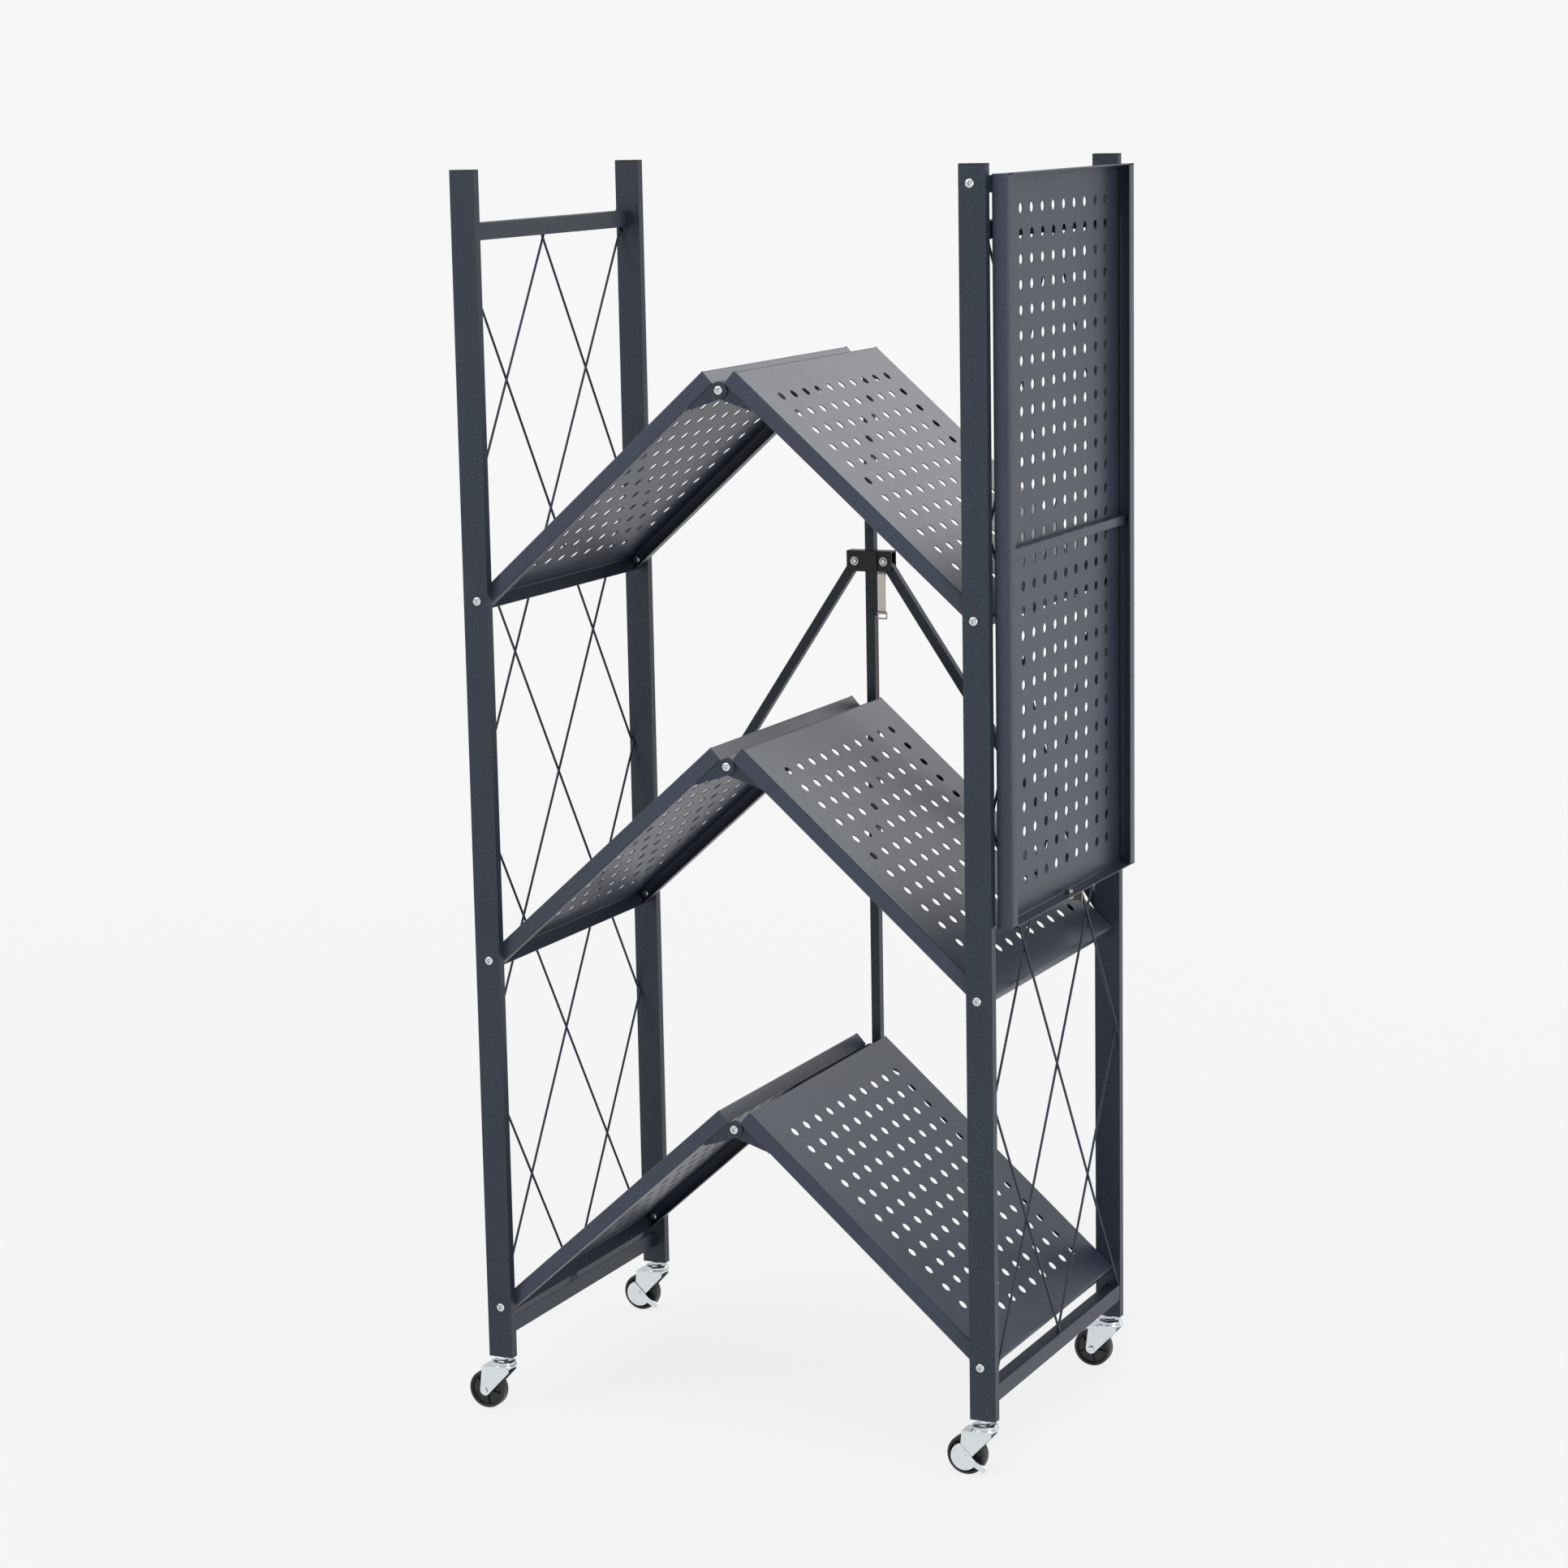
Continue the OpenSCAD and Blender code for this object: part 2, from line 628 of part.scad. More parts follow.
// Pivot bolts of the top shelf, with the small screws that hold its brackets
module top_bolts() {
  reach = frame_d / 2 - skin_y + ear_t + seat_gap;
  color(zinc) centred() for (s = [-1, 1]) {
    translate([pivot_x, 0, top_pivot_z]) scale_y(s) translate([0, -frame_d / 2, 0])
      bolt(reach + nut_h + sheet_t, reach);
  }
}

// Hook that catches the far crossbar when the top shelf lies open
module hook_latch() {
  low = top_edge - top_len;
  color(nickel) centred() translate([top_x + top_h / 2, 0, low]) {
    translate([0, 0, -head_h - lever_t]) cylinder(r = head_d / 2, h = head_h, $fn = 32);
    translate([0, 0, -head_h / 2 - lever_t])
      cylinder(r = bolt_r, h = sheet_t + lever_t + head_h, $fn = 32);
    translate([0, 0, sheet_t]) cylinder(r = nut_d / 2, h = nut_h, $fn = 6);
    translate([-hook_w / 2, -hook_w / 2, -lever_t]) cube([hook_w, hook_l, lever_t]);
    translate([-hook_w / 2, hook_l - hook_w / 2 - lever_t, -hook_w]) cube([hook_w, lever_t, hook_w]);
  }
}

// Places a shape at one caster, with the stem's axis at x = y = 0
module at_caster(side, end) { centred() translate([side * post_x, end * post_y, 0]) children(); }

// Stem with its rivet head under the fork, the two rings of the swivel and the nut below the post
module stem(side, end) {
  half = race_h / 2;
  edge = race_groove / 2;
  color(zinc) at_caster(side, end) {
    translate([0, 0, race_low - fork_t]) cylinder(r = stem_r, h = caster_h + stem_in - race_low + fork_t, $fn = 32);
    translate([0, 0, race_low - fork_t]) cylinder(r = stem_r + race_groove, h = fork_t - seat_gap, $fn = 32);
    translate([0, 0, swivel_z + seat_gap]) rotate_extrude($fn = 64)
      polygon([[stem_r / 2, 0], [race_r - edge, 0], [race_r, edge], [race_r, half - edge],
        [race_r - race_groove, half], [race_r - edge, half + edge], [race_r - edge, race_h - edge],
        [race_r - 2 * edge, race_h - 2 * seat_gap], [stem_r / 2, race_h - 2 * seat_gap]]);
    translate([0, 0, caster_h - neck_h - seat_gap]) cylinder(r = stem_nut / 2, h = neck_h, $fn = 6);
  }
}

// Side outline of a fork leg: from the crown down to the axle, which trails the stem
module leg_outline() {
  back = -trail - crown_back;
  difference() {
    union() {
      translate([-trail, wheel_r]) circle(r = leg_r, $fn = 48);
      polygon([[crown_front, swivel_z], [crown_front, race_low - shoulder],
        [-trail + leg_r * cos(leg_turn), wheel_r - leg_r * sin(leg_turn)],
        [-trail - leg_r, wheel_r], [back, race_low - shoulder], [back, swivel_z]]);
    }
    translate([-trail, wheel_r]) circle(r = axle_r + bolt_fit, $fn = 32);
  }
}

module fork(side, end) {
  color(zinc) at_caster(side, end) difference() {
    union() {
      for (s = [-1, 1]) translate([0, s * (fork_y + fork_t / 2) + fork_t / 2, 0]) rotate([90, 0, 0])
        linear_extrude(fork_t) leg_outline();
      box_from([-trail - crown_back, -fork_y - fork_t, race_low], [crown_front, fork_y + fork_t, swivel_z]);
    }
    translate([0, 0, race_low - cut]) cylinder(r = stem_r + bolt_fit, h = fork_t + 2 * cut, $fn = 32);
  }
}

// Wheel with a raised rim, a recessed face and a hub
module wheel(side, end) {
  w = wheel_w / 2;
  tread = wheel_r - tyre_t;
  side_y = w - rim_step;
  color(black) at_caster(side, end) translate([-trail, 0, wheel_r]) rotate([90, 0, 0]) rotate_extrude($fn = 72)
    polygon([[axle_r + bolt_fit, -w], [hub_r, -w], [hub_r + rim_step, -w + fork_t],
      [tread - rim_step, -w + fork_t], [tread, -side_y], [wheel_r - fork_t, -side_y],
      [wheel_r, -side_y + fork_t], [wheel_r, side_y - fork_t], [wheel_r - fork_t, side_y],
      [tread, side_y], [tread - rim_step, w - fork_t], [hub_r + rim_step, w - fork_t],
      [hub_r, w], [axle_r + bolt_fit, w]]);
}

module axle(side, end) {
  out = fork_y + fork_t;
  color(zinc) at_caster(side, end) translate([-trail, 0, wheel_r]) {
    rod_y(axle_r, -out - brake_t - axle_head / 2, out + axle_head / 2);
    rod_y(axle_r + axle_head / 2, out, out + axle_head);
    rod_y(axle_r + axle_head / 2, -out - brake_t - axle_head, -out - brake_t - seat_gap / 2);
  }
}

// Brake plate outside the front leg, with a tab to step on
module brake(side, end) {
  out = fork_y + fork_t;
  color(zinc) at_caster(side, end) translate([-trail, -out, wheel_r]) rotate([90, 0, 0]) {
    linear_extrude(brake_t) difference() {
      intersection() {
        circle(r = brake_r, $fn = 48);
        rotate(-brake_turn) translate([-wheel_r, -wheel_r]) square([wheel_d, wheel_r + brake_over]);
      }
      circle(r = axle_r + bolt_fit, $fn = 32);
    }
    rotate(-tab_turn) translate([brake_r - brake_t, -tab_w / 2, 0]) cube([brake_tab, tab_w, 2 * brake_t]);
  }
}

post(-1, -1);  // post_front_left
post(-1, 1);  // post_rear_left
post(1, -1);  // post_front_right
post(1, 1);  // post_rear_right
crossbars(-1);  // crossbars_left
crossbars(1);  // crossbars_right
lattice(-1);  // lattice_left
lattice(1);  // lattice_right
post_plugs(-1);  // post_plugs_left
post_plugs(1);  // post_plugs_right
tray(-1, 2);  // tray_top_left
tray(-1, 1);  // tray_middle_left
tray(-1, 0);  // tray_low_left
tray(1, 2);  // tray_top_right
tray(1, 1);  // tray_middle_right
tray(1, 0);  // tray_low_right
ears(-1, 2);  // ears_top_left
ears(-1, 1);  // ears_middle_left
ears(-1, 0);  // ears_low_left
ears(1, 2);  // ears_top_right
ears(1, 1);  // ears_middle_right
ears(1, 0);  // ears_low_right
post_bolts(-1);  // post_bolts_left
post_bolts(1);  // post_bolts_right
middle_bolts(2);  // middle_bolts_top
middle_bolts(1);  // middle_bolts_middle
middle_bolts(0);  // middle_bolts_low
link_bar();
slider_bracket();
slider_bolts();
brace(-1);  // brace_left
brace(1);  // brace_right
latch_strip();
latch_lever();
latch_bail();
top_shelf();
top_stiffener();
top_brackets();
top_bolts();
hook_latch();
stem(-1, -1);  // stem_front_left
stem(-1, 1);  // stem_rear_left
stem(1, -1);  // stem_front_right
stem(1, 1);  // stem_rear_right
fork(-1, -1);  // fork_front_left
fork(-1, 1);  // fork_rear_left
fork(1, -1);  // fork_front_right
fork(1, 1);  // fork_rear_right
wheel(-1, -1);  // wheel_front_left
wheel(-1, 1);  // wheel_rear_left
wheel(1, -1);  // wheel_front_right
wheel(1, 1);  // wheel_rear_right
axle(-1, -1);  // axle_front_left
axle(-1, 1);  // axle_rear_left
axle(1, -1);  // axle_front_right
axle(1, 1);  // axle_rear_right
brake(-1, 1);  // brake_rear_left
brake(1, -1);  // brake_front_right
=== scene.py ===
import bpy
import bmesh
import json
from math import asin, cos, degrees, pi, radians, sin, sqrt
from mathutils import Matrix, Vector

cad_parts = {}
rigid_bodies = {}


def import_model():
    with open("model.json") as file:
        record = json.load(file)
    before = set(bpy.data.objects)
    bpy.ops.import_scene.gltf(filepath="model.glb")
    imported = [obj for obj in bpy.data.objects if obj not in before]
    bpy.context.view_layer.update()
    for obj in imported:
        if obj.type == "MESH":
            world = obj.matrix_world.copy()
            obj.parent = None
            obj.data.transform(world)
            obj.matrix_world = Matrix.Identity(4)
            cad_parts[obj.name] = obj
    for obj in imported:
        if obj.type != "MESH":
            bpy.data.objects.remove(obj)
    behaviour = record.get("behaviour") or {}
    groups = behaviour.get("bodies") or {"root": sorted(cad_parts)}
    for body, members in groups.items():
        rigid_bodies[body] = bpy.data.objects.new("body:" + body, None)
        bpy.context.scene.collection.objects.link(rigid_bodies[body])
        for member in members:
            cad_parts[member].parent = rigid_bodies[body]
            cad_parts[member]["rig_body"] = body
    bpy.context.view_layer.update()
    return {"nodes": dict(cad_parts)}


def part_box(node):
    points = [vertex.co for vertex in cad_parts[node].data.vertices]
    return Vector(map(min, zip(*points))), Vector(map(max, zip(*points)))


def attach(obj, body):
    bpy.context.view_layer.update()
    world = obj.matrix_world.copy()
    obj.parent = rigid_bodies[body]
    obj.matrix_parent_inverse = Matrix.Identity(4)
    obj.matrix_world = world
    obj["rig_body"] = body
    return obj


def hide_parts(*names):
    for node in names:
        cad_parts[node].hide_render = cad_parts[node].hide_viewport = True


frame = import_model()
nodes = frame["nodes"]
mm = 0.001


def linear(hexColour):
    channels = [int(hexColour[i:i + 2], 16) / 255 for i in (1, 3, 5)]
    return [c / 12.92 if c <= 0.04045 else ((c + 0.055) / 1.055) ** 2.4 for c in channels] + [1]


def addNode(tree, kind, settings=None, links=None):
    # settings holds properties and input values, links holds input: output socket
    node = tree.nodes.new(kind)
    for key, value in (settings or {}).items():
        if isinstance(key, int) or key in node.inputs:
            node.inputs[key].default_value = value
        else:
            setattr(node, key, value)
    for key, socket in (links or {}).items():
        tree.links.new(socket, node.inputs[key])
    return node


# finishes: sRGB hex colours, share of pale flecks, sizes of scratches and textures
tubeCoat = {"base": "#212a37", "fleck": "#566274", "roughness": 0.42, "share": 0.45, "ior": 1.43}
sheetCoat = {"base": "#333948", "fleck": "#535a6a", "roughness": 0.36, "share": 0.35, "ior": 1.42}
blackPaint = {"base": "#1c1d20", "fleck": "#566274", "roughness": 0.38, "share": 0.15, "ior": 1.43}
zincPlating = {"base": "#dfe5e8", "roughness": 0.22, "scratch": 1.5 * mm, "depth": 0.03 * mm}
boltPlating = {"base": "#d6d8da", "roughness": 0.22, "scratch": 1.0 * mm, "depth": 0.02 * mm}
nickelPlating = {"base": "#b5afa5", "roughness": 0.14, "scratch": 1.5 * mm, "depth": 0.02 * mm}
wheelPolymer = {"base": "#17181a", "roughness": 0.42, "texture": 0.8 * mm}
capPolymer = {"base": "#17181a", "roughness": 0.5, "texture": 0.9 * mm}
peelSize = 1.2 * mm
# the part of a noise's range that is spread over a finish's values
noiseSpan = (0.3, 0.7)


def newMaterial(name):
    material = bpy.data.materials.new(name)
    material.use_nodes = True
    tree = material.node_tree
    tree.nodes.clear()
    shader = addNode(tree, "ShaderNodeBsdfPrincipled")
    addNode(tree, "ShaderNodeOutputMaterial", links={"Surface": shader.outputs[0]})
    place = addNode(tree, "ShaderNodeTexCoord").outputs["Object"]
    return material, tree, shader, place


def noise(tree, place, scale, detail, roughness=0.5):
    settings = {"Scale": scale, "Detail": detail, "Roughness": roughness}
    return addNode(tree, "ShaderNodeTexNoise", settings, {"Vector": place}).outputs["Fac"]


def remap(tree, value, source, target):
    settings = {"From Min": source[0], "From Max": source[1], "To Min": target[0], "To Max": target[1]}
    return addNode(tree, "ShaderNodeMapRange", settings, {"Value": value}).outputs[0]


def connect(tree, shader, colour, rough, height, strength, depth):
    tree.links.new(colour, shader.inputs["Base Color"])
    tree.links.new(rough, shader.inputs["Roughness"])
    bump = addNode(tree, "ShaderNodeBump", {"Strength": strength, "Distance": depth}, {"Height": height})
    tree.links.new(bump.outputs[0], shader.inputs["Normal"])


def powderCoat(name, base, fleck, roughness, share, ior):
    # polyester powder, sprayed and baked: satin, with orange peel and pale flecks
    # the real peel is about 0.5 mm; it is drawn larger so that it shows from the camera
    material, tree, shader, place = newMaterial(name)
    peel = noise(tree, place, 1 / peelSize, 2.0, 0.6)
    dots = remap(tree, noise(tree, place, 1.1 / peelSize, 1.0), (0.56, 0.70), (0.0, share))
    tone = remap(tree, noise(tree, place, 9.0, 2.0), noiseSpan, (0.92, 1.08))
    mix = addNode(tree, "ShaderNodeMix", {"data_type": "RGBA", 6: linear(base), 7: linear(fleck)}, {0: dots})
    shade = addNode(tree, "ShaderNodeHueSaturation", {"Saturation": 1.0},
                    {"Color": mix.outputs[2], "Value": tone})
    rough = remap(tree, peel, noiseSpan, (roughness - 0.05, roughness + 0.07))
    connect(tree, shader, shade.outputs[0], rough, peel, 0.22, 0.08 * mm)
    shader.inputs["IOR"].default_value = ior
    return material


def platedSteel(name, base, roughness, scratch, depth):
    # plated and barrelled steel: bright, with soft scratches along X and cloudy plating
    material, tree, shader, place = newMaterial(name)
    stretch = addNode(tree, "ShaderNodeMapping", {"Scale": (0.15, 1.0, 1.0)}, {"Vector": place})
    lines = noise(tree, stretch.outputs[0], 1 / scratch, 3.0)
    tone = remap(tree, noise(tree, place, 1 / (6 * mm), 2.0), noiseSpan, (0.96, 1.02))
    shade = addNode(tree, "ShaderNodeHueSaturation", {"Color": linear(base)}, {"Value": tone})
    rough = remap(tree, lines, noiseSpan, (roughness - 0.04, roughness + 0.05))
    connect(tree, shader, shade.outputs[0], rough, lines, 0.08, depth)
    shader.inputs["Metallic"].default_value = 1.0
    return material


def mouldedPlastic(name, base, roughness, texture):
    # injection moulded polypropylene: spark-eroded texture, a little paler where it is rubbed
    material, tree, shader, place = newMaterial(name)
    grit = noise(tree, place, 1 / texture, 2.0)
    tone = remap(tree, noise(tree, place, 1 / (7 * mm), 4.0), (0.35, 0.75), (0.9, 1.5))
    shade = addNode(tree, "ShaderNodeHueSaturation", {"Color": linear(base)}, {"Value": tone})
    rough = remap(tree, grit, noiseSpan, (roughness - 0.06, roughness + 0.08))
    connect(tree, shader, shade.outputs[0], rough, grit, 0.25, 0.05 * mm)
    shader.inputs["IOR"].default_value = 1.49
    return material


frameCoat = powderCoat("powderCoatedSteelTube", **tubeCoat)
shelfCoat = powderCoat("powderCoatedSteelSheet", **sheetCoat)
casterZinc = platedSteel("zincPlatedPressedSteel", **zincPlating)
boltZinc = platedSteel("zincPlatedBoltSteel", **boltPlating)
nickel = platedSteel("nickelPlatedSteel", **nickelPlating)
wheelPlastic = mouldedPlastic("mouldedPolypropylene", **wheelPolymer)
capPlastic = mouldedPlastic("mouldedPolyethyleneCap", **capPolymer)
blackSteel = powderCoat("blackPaintedSteel", **blackPaint)
print("materials ready")


def toObject(name, bm, material, sharp=35):
    bmesh.ops.recalc_face_normals(bm, faces=bm.faces)
    mesh = bpy.data.meshes.new(name)
    bm.to_mesh(mesh)
    bm.free()
    return meshObject(name, mesh, material, sharp)


def meshObject(name, mesh, material, sharp=35):
    mesh.materials.clear()
    mesh.materials.append(material)
    if sharp:
        mesh.shade_smooth()
        mesh.set_sharp_from_angle(angle=radians(sharp))
    piece = bpy.data.objects.new(name, mesh)
    bpy.context.scene.collection.objects.link(piece)
    return piece


def baked(piece, name, material, sharp=35):
    # a plain mesh of the evaluated object, which then goes
    shown = piece.evaluated_get(bpy.context.evaluated_depsgraph_get())
    mesh = bpy.data.meshes.new_from_object(shown)
    bpy.data.objects.remove(piece)
    return meshObject(name, mesh, material, sharp)


def standsFor(piece, *names):
    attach(piece, nodes[names[0]]["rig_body"])
    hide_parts(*names)


def joined(name, pieces, material, sharp=35):
    bm = bmesh.new()
    for piece in pieces:
        bm.from_mesh(piece.data)
    mesh = bpy.data.meshes.new(name)
    bm.to_mesh(mesh)
    bm.free()
    for piece in pieces:
        bpy.data.objects.remove(piece)
    return meshObject(name, mesh, material, sharp)


def softEdges(node, material, width, segments=2):
    # the CAD solid with its edges rounded as the folded, drawn or pressed metal has them
    bm = bmesh.new()
    bm.from_mesh(nodes[node].data)
    bmesh.ops.remove_doubles(bm, verts=bm.verts, dist=1e-6)
    bmesh.ops.dissolve_limit(bm, angle_limit=radians(0.5), verts=bm.verts, edges=bm.edges)
    mesh = bpy.data.meshes.new(node + "_soft")
    bm.to_mesh(mesh)
    bm.free()
    piece = bpy.data.objects.new(node + "_soft", mesh)
    bpy.context.scene.collection.objects.link(piece)
    bevel = piece.modifiers.new("edges", "BEVEL")
    bevel.width = width
    bevel.segments = segments
    bevel.limit_method = "ANGLE"
    bevel.angle_limit = radians(35)
    bevel.use_clamp_overlap = True
    mesh.shade_smooth()
    # the flat faces keep their own normals, so that they read as flat
    flat = piece.modifiers.new("flat", "WEIGHTED_NORMAL")
    flat.mode = "FACE_AREA"
    flat.weight = 100
    piece = baked(piece, node + "_soft", material, None)
    standsFor(piece, node)
    return piece


def lathe(bm, profile, centre, axis="Z", steps=40):
    # profile holds (radius, height) pairs, turned about the axis through the centre
    turn = {"Z": Matrix.Identity(4), "Y": Matrix.Rotation(radians(-90), 4, "X")}[axis]
    rings = []
    for radius, height in profile:
        ring = []
        for i in range(steps if radius > 1e-7 else 1):
            a = 2 * pi * i / steps
            ring.append(bm.verts.new(turn @ Vector((radius * cos(a), radius * sin(a), height)) + centre))
        rings.append(ring)
    for a, b in zip(rings, rings[1:]):
        for i in range(steps):
            j = (i + 1) % steps
            corners = [a[i % len(a)], a[j % len(a)], b[j % len(b)], b[i % len(b)]]
            bm.faces.new(list(dict.fromkeys(corners)))
    for ring in (rings[0], rings[-1]):
        if len(ring) > 2 and profile[0] != profile[-1]:
            bm.faces.new(ring)


def extruded(bm, outline, start, end, toPoint):
    # outline is a closed list of 2D points, toPoint places (u, v, along) in space
    first = [bm.verts.new(toPoint(u, v, start)) for u, v in outline]
    last = [bm.verts.new(toPoint(u, v, end)) for u, v in outline]
    count = len(outline)
    for i in range(count):
        j = (i + 1) % count
        bm.faces.new((first[i], first[j], last[j], last[i]))
    bm.faces.new(first)
    bm.faces.new(last[::-1])


# sizes in mm, as in the CAD
halfShelf = {
    "linkLength": 340.0, "hingeDrop": 18.0, "restSlope": 38.6, "pastPivot": 5.5, "middleGap": 0.3,
    "halfDepth": 174.5, "sheet": 1.0, "height": 15.5, "rise": 7.0, "lip": 14.0, "lipBack": 42.0,
    "bendRadius": 1.6, "bendSteps": 5, "hole": 10.0, "columns": 10, "rows": 12, "columnPitch": 29.0,
    "rowPitch": 24.0, "pivotX": 265.72, "shiftX": 3.5, "shiftY": -7.15, "tiers": (111.0, 478.0, 845.0),
}


def sheetTree():
    tree = bpy.data.node_groups.new("perforatedSheet", "GeometryNodeTree")
    inputs = {}
    for name, kind in (("Rows", "NodeSocketInt"), ("Columns", "NodeSocketInt"),
                       ("Row pitch", "NodeSocketFloat"), ("Column pitch", "NodeSocketFloat"),
                       ("Hole radius", "NodeSocketFloat"), ("Length", "NodeSocketFloat"),
                       ("Width", "NodeSocketFloat"), ("Thickness", "NodeSocketFloat"),
                       ("Material", "NodeSocketMaterial")):
        inputs[name] = tree.interface.new_socket(name, in_out="INPUT", socket_type=kind).identifier
    tree.interface.new_socket("Geometry", in_out="OUTPUT", socket_type="NodeSocketGeometry")
    given = addNode(tree, "NodeGroupInput").outputs

    def calc(operation, a, b=None):
        fixed = isinstance(b, (int, float))
        settings = {"operation": operation} | ({1: b} if fixed else {})
        links = {0: a} | ({} if fixed or b is None else {1: b})
        return addNode(tree, "ShaderNodeMath", settings, links).outputs[0]

    # one tile: a hole whose ring of faces runs out to the tile's square edge
    ring = addNode(tree, "GeometryNodeMeshCircle", {"Vertices": 24}, {"Radius": given["Hole radius"]})
    grown = addNode(tree, "GeometryNodeExtrudeMesh", {"mode": "EDGES", "Offset Scale": 0.0},
                    {"Mesh": ring.outputs[0]})
    here = addNode(tree, "GeometryNodeInputPosition").outputs[0]
    unit = addNode(tree, "ShaderNodeVectorMath", {"operation": "NORMALIZE"}, {0: here})
    parts = addNode(tree, "ShaderNodeSeparateXYZ", links={0: unit.outputs[0]})
    reach = calc("MAXIMUM", calc("ABSOLUTE", parts.outputs[0]), calc("ABSOLUTE", parts.outputs[1]))
    sides = {}
    for axis, pitch in ((0, "Row pitch"), (1, "Column pitch")):
        share = calc("DIVIDE", parts.outputs[axis], reach)
        sides[axis] = calc("MULTIPLY", share, calc("MULTIPLY", given[pitch], 0.5))
    edge = addNode(tree, "ShaderNodeCombineXYZ", links=sides)
    tile = addNode(tree, "GeometryNodeSetPosition", links={
        "Geometry": grown.outputs["Mesh"], "Selection": grown.outputs["Top"], "Position": edge.outputs[0]})
    spread = {}
    for name, pitch in (("Rows", "Row pitch"), ("Columns", "Column pitch")):
        spread[name] = calc("MULTIPLY", calc("SUBTRACT", given[name], 1), given[pitch])
    grid = addNode(tree, "GeometryNodeMeshGrid", links={
        "Size X": spread["Rows"], "Size Y": spread["Columns"],
        "Vertices X": given["Rows"], "Vertices Y": given["Columns"]})
    copies = addNode(tree, "GeometryNodeInstanceOnPoints",
                     links={"Points": grid.outputs[0], "Instance": tile.outputs[0]})
    whole = addNode(tree, "GeometryNodeRealizeInstances", links={0: copies.outputs[0]})
    welded = addNode(tree, "GeometryNodeMergeByDistance", {"Distance": 0.05 * mm},
                     {"Geometry": whole.outputs[0]})
    # the outermost tiles stretch to the bends
    spot = addNode(tree, "ShaderNodeSeparateXYZ", links={0: here}).outputs
    placed = welded.outputs[0]
    for axis, pitch, name, size in ((0, "Row pitch", "Rows", "Length"),
                                    (1, "Column pitch", "Columns", "Width")):
        rim = calc("SUBTRACT", calc("MULTIPLY", calc("ADD", spread[name], given[pitch]), 0.5), 0.2 * mm)
        outer = calc("GREATER_THAN", calc("ABSOLUTE", spot[axis]), rim)
        target = calc("MULTIPLY", calc("SIGN", spot[axis]), calc("MULTIPLY", given[size], 0.5))
        move = addNode(tree, "ShaderNodeCombineXYZ", links={axis: calc("SUBTRACT", target, spot[axis])})
        placed = addNode(tree, "GeometryNodeSetPosition", links={
            "Geometry": placed, "Selection": outer, "Offset": move.outputs[0]}).outputs[0]
    up = addNode(tree, "ShaderNodeCombineXYZ", {2: 1.0})
    thick = addNode(tree, "GeometryNodeExtrudeMesh", {"Individual": False},
                    {"Mesh": placed, "Offset": up.outputs[0], "Offset Scale": given["Thickness"]})
    under = addNode(tree, "GeometryNodeFlipFaces", links={0: placed})
    both = addNode(tree, "GeometryNodeJoinGeometry")
    tree.links.new(under.outputs[0], both.inputs[0])
    tree.links.new(thick.outputs[0], both.inputs[0])
    closed = addNode(tree, "GeometryNodeMergeByDistance", {"Distance": 0.02 * mm},
                     {"Geometry": both.outputs[0]})
    real = addNode(tree, "GeometryNodeRealizeInstances", links={0: closed.outputs[0]})
    painted = addNode(tree, "GeometryNodeSetMaterial",
                      links={"Geometry": real.outputs[0], "Material": given["Material"]})
    addNode(tree, "NodeGroupOutput", links={0: painted.outputs[0]})
    return tree, inputs


perforatedSheet, sheetInputs = sheetTree()


def runTree(tree, inputs, values, name, material, mesh=None):
    piece = bpy.data.objects.new(name, mesh or bpy.data.meshes.new(name))
    bpy.context.scene.collection.objects.link(piece)
    modifier = piece.modifiers.new("shape", "NODES")
    modifier.node_group = tree
    for key, value in values.items():
        modifier[inputs[key]] = value
    modifier[inputs["Material"]] = material
    return baked(piece, name, material)


def bentOutline(points, radius, thickness, steps):
    # a sheet's cross-section: a line with rounded bends, given its thickness
    line = [Vector(points[0])]
    for before, corner, after in zip(points, points[1:], points[2:]):
        before, corner, after = Vector(before), Vector(corner), Vector(after)
        a, b = (before - corner).normalized(), (after - corner).normalized()
        centre = corner + (a + b) * radius
        for i in range(steps + 1):
            t = i / steps * pi / 2
            line.append(centre - b * radius * cos(t) - a * radius * sin(t))
    line.append(Vector(points[-1]))
    sides = ([], [])
    for i, point in enumerate(line):
        along = (line[min(i + 1, len(line) - 1)] - line[max(i - 1, 0)]).normalized()
        normal = Vector((-along.y, along.x))
        sides[0].append(point + normal * thickness / 2)
        sides[1].append(point - normal * thickness / 2)
    return [tuple(p) for p in sides[0] + sides[1][::-1]]


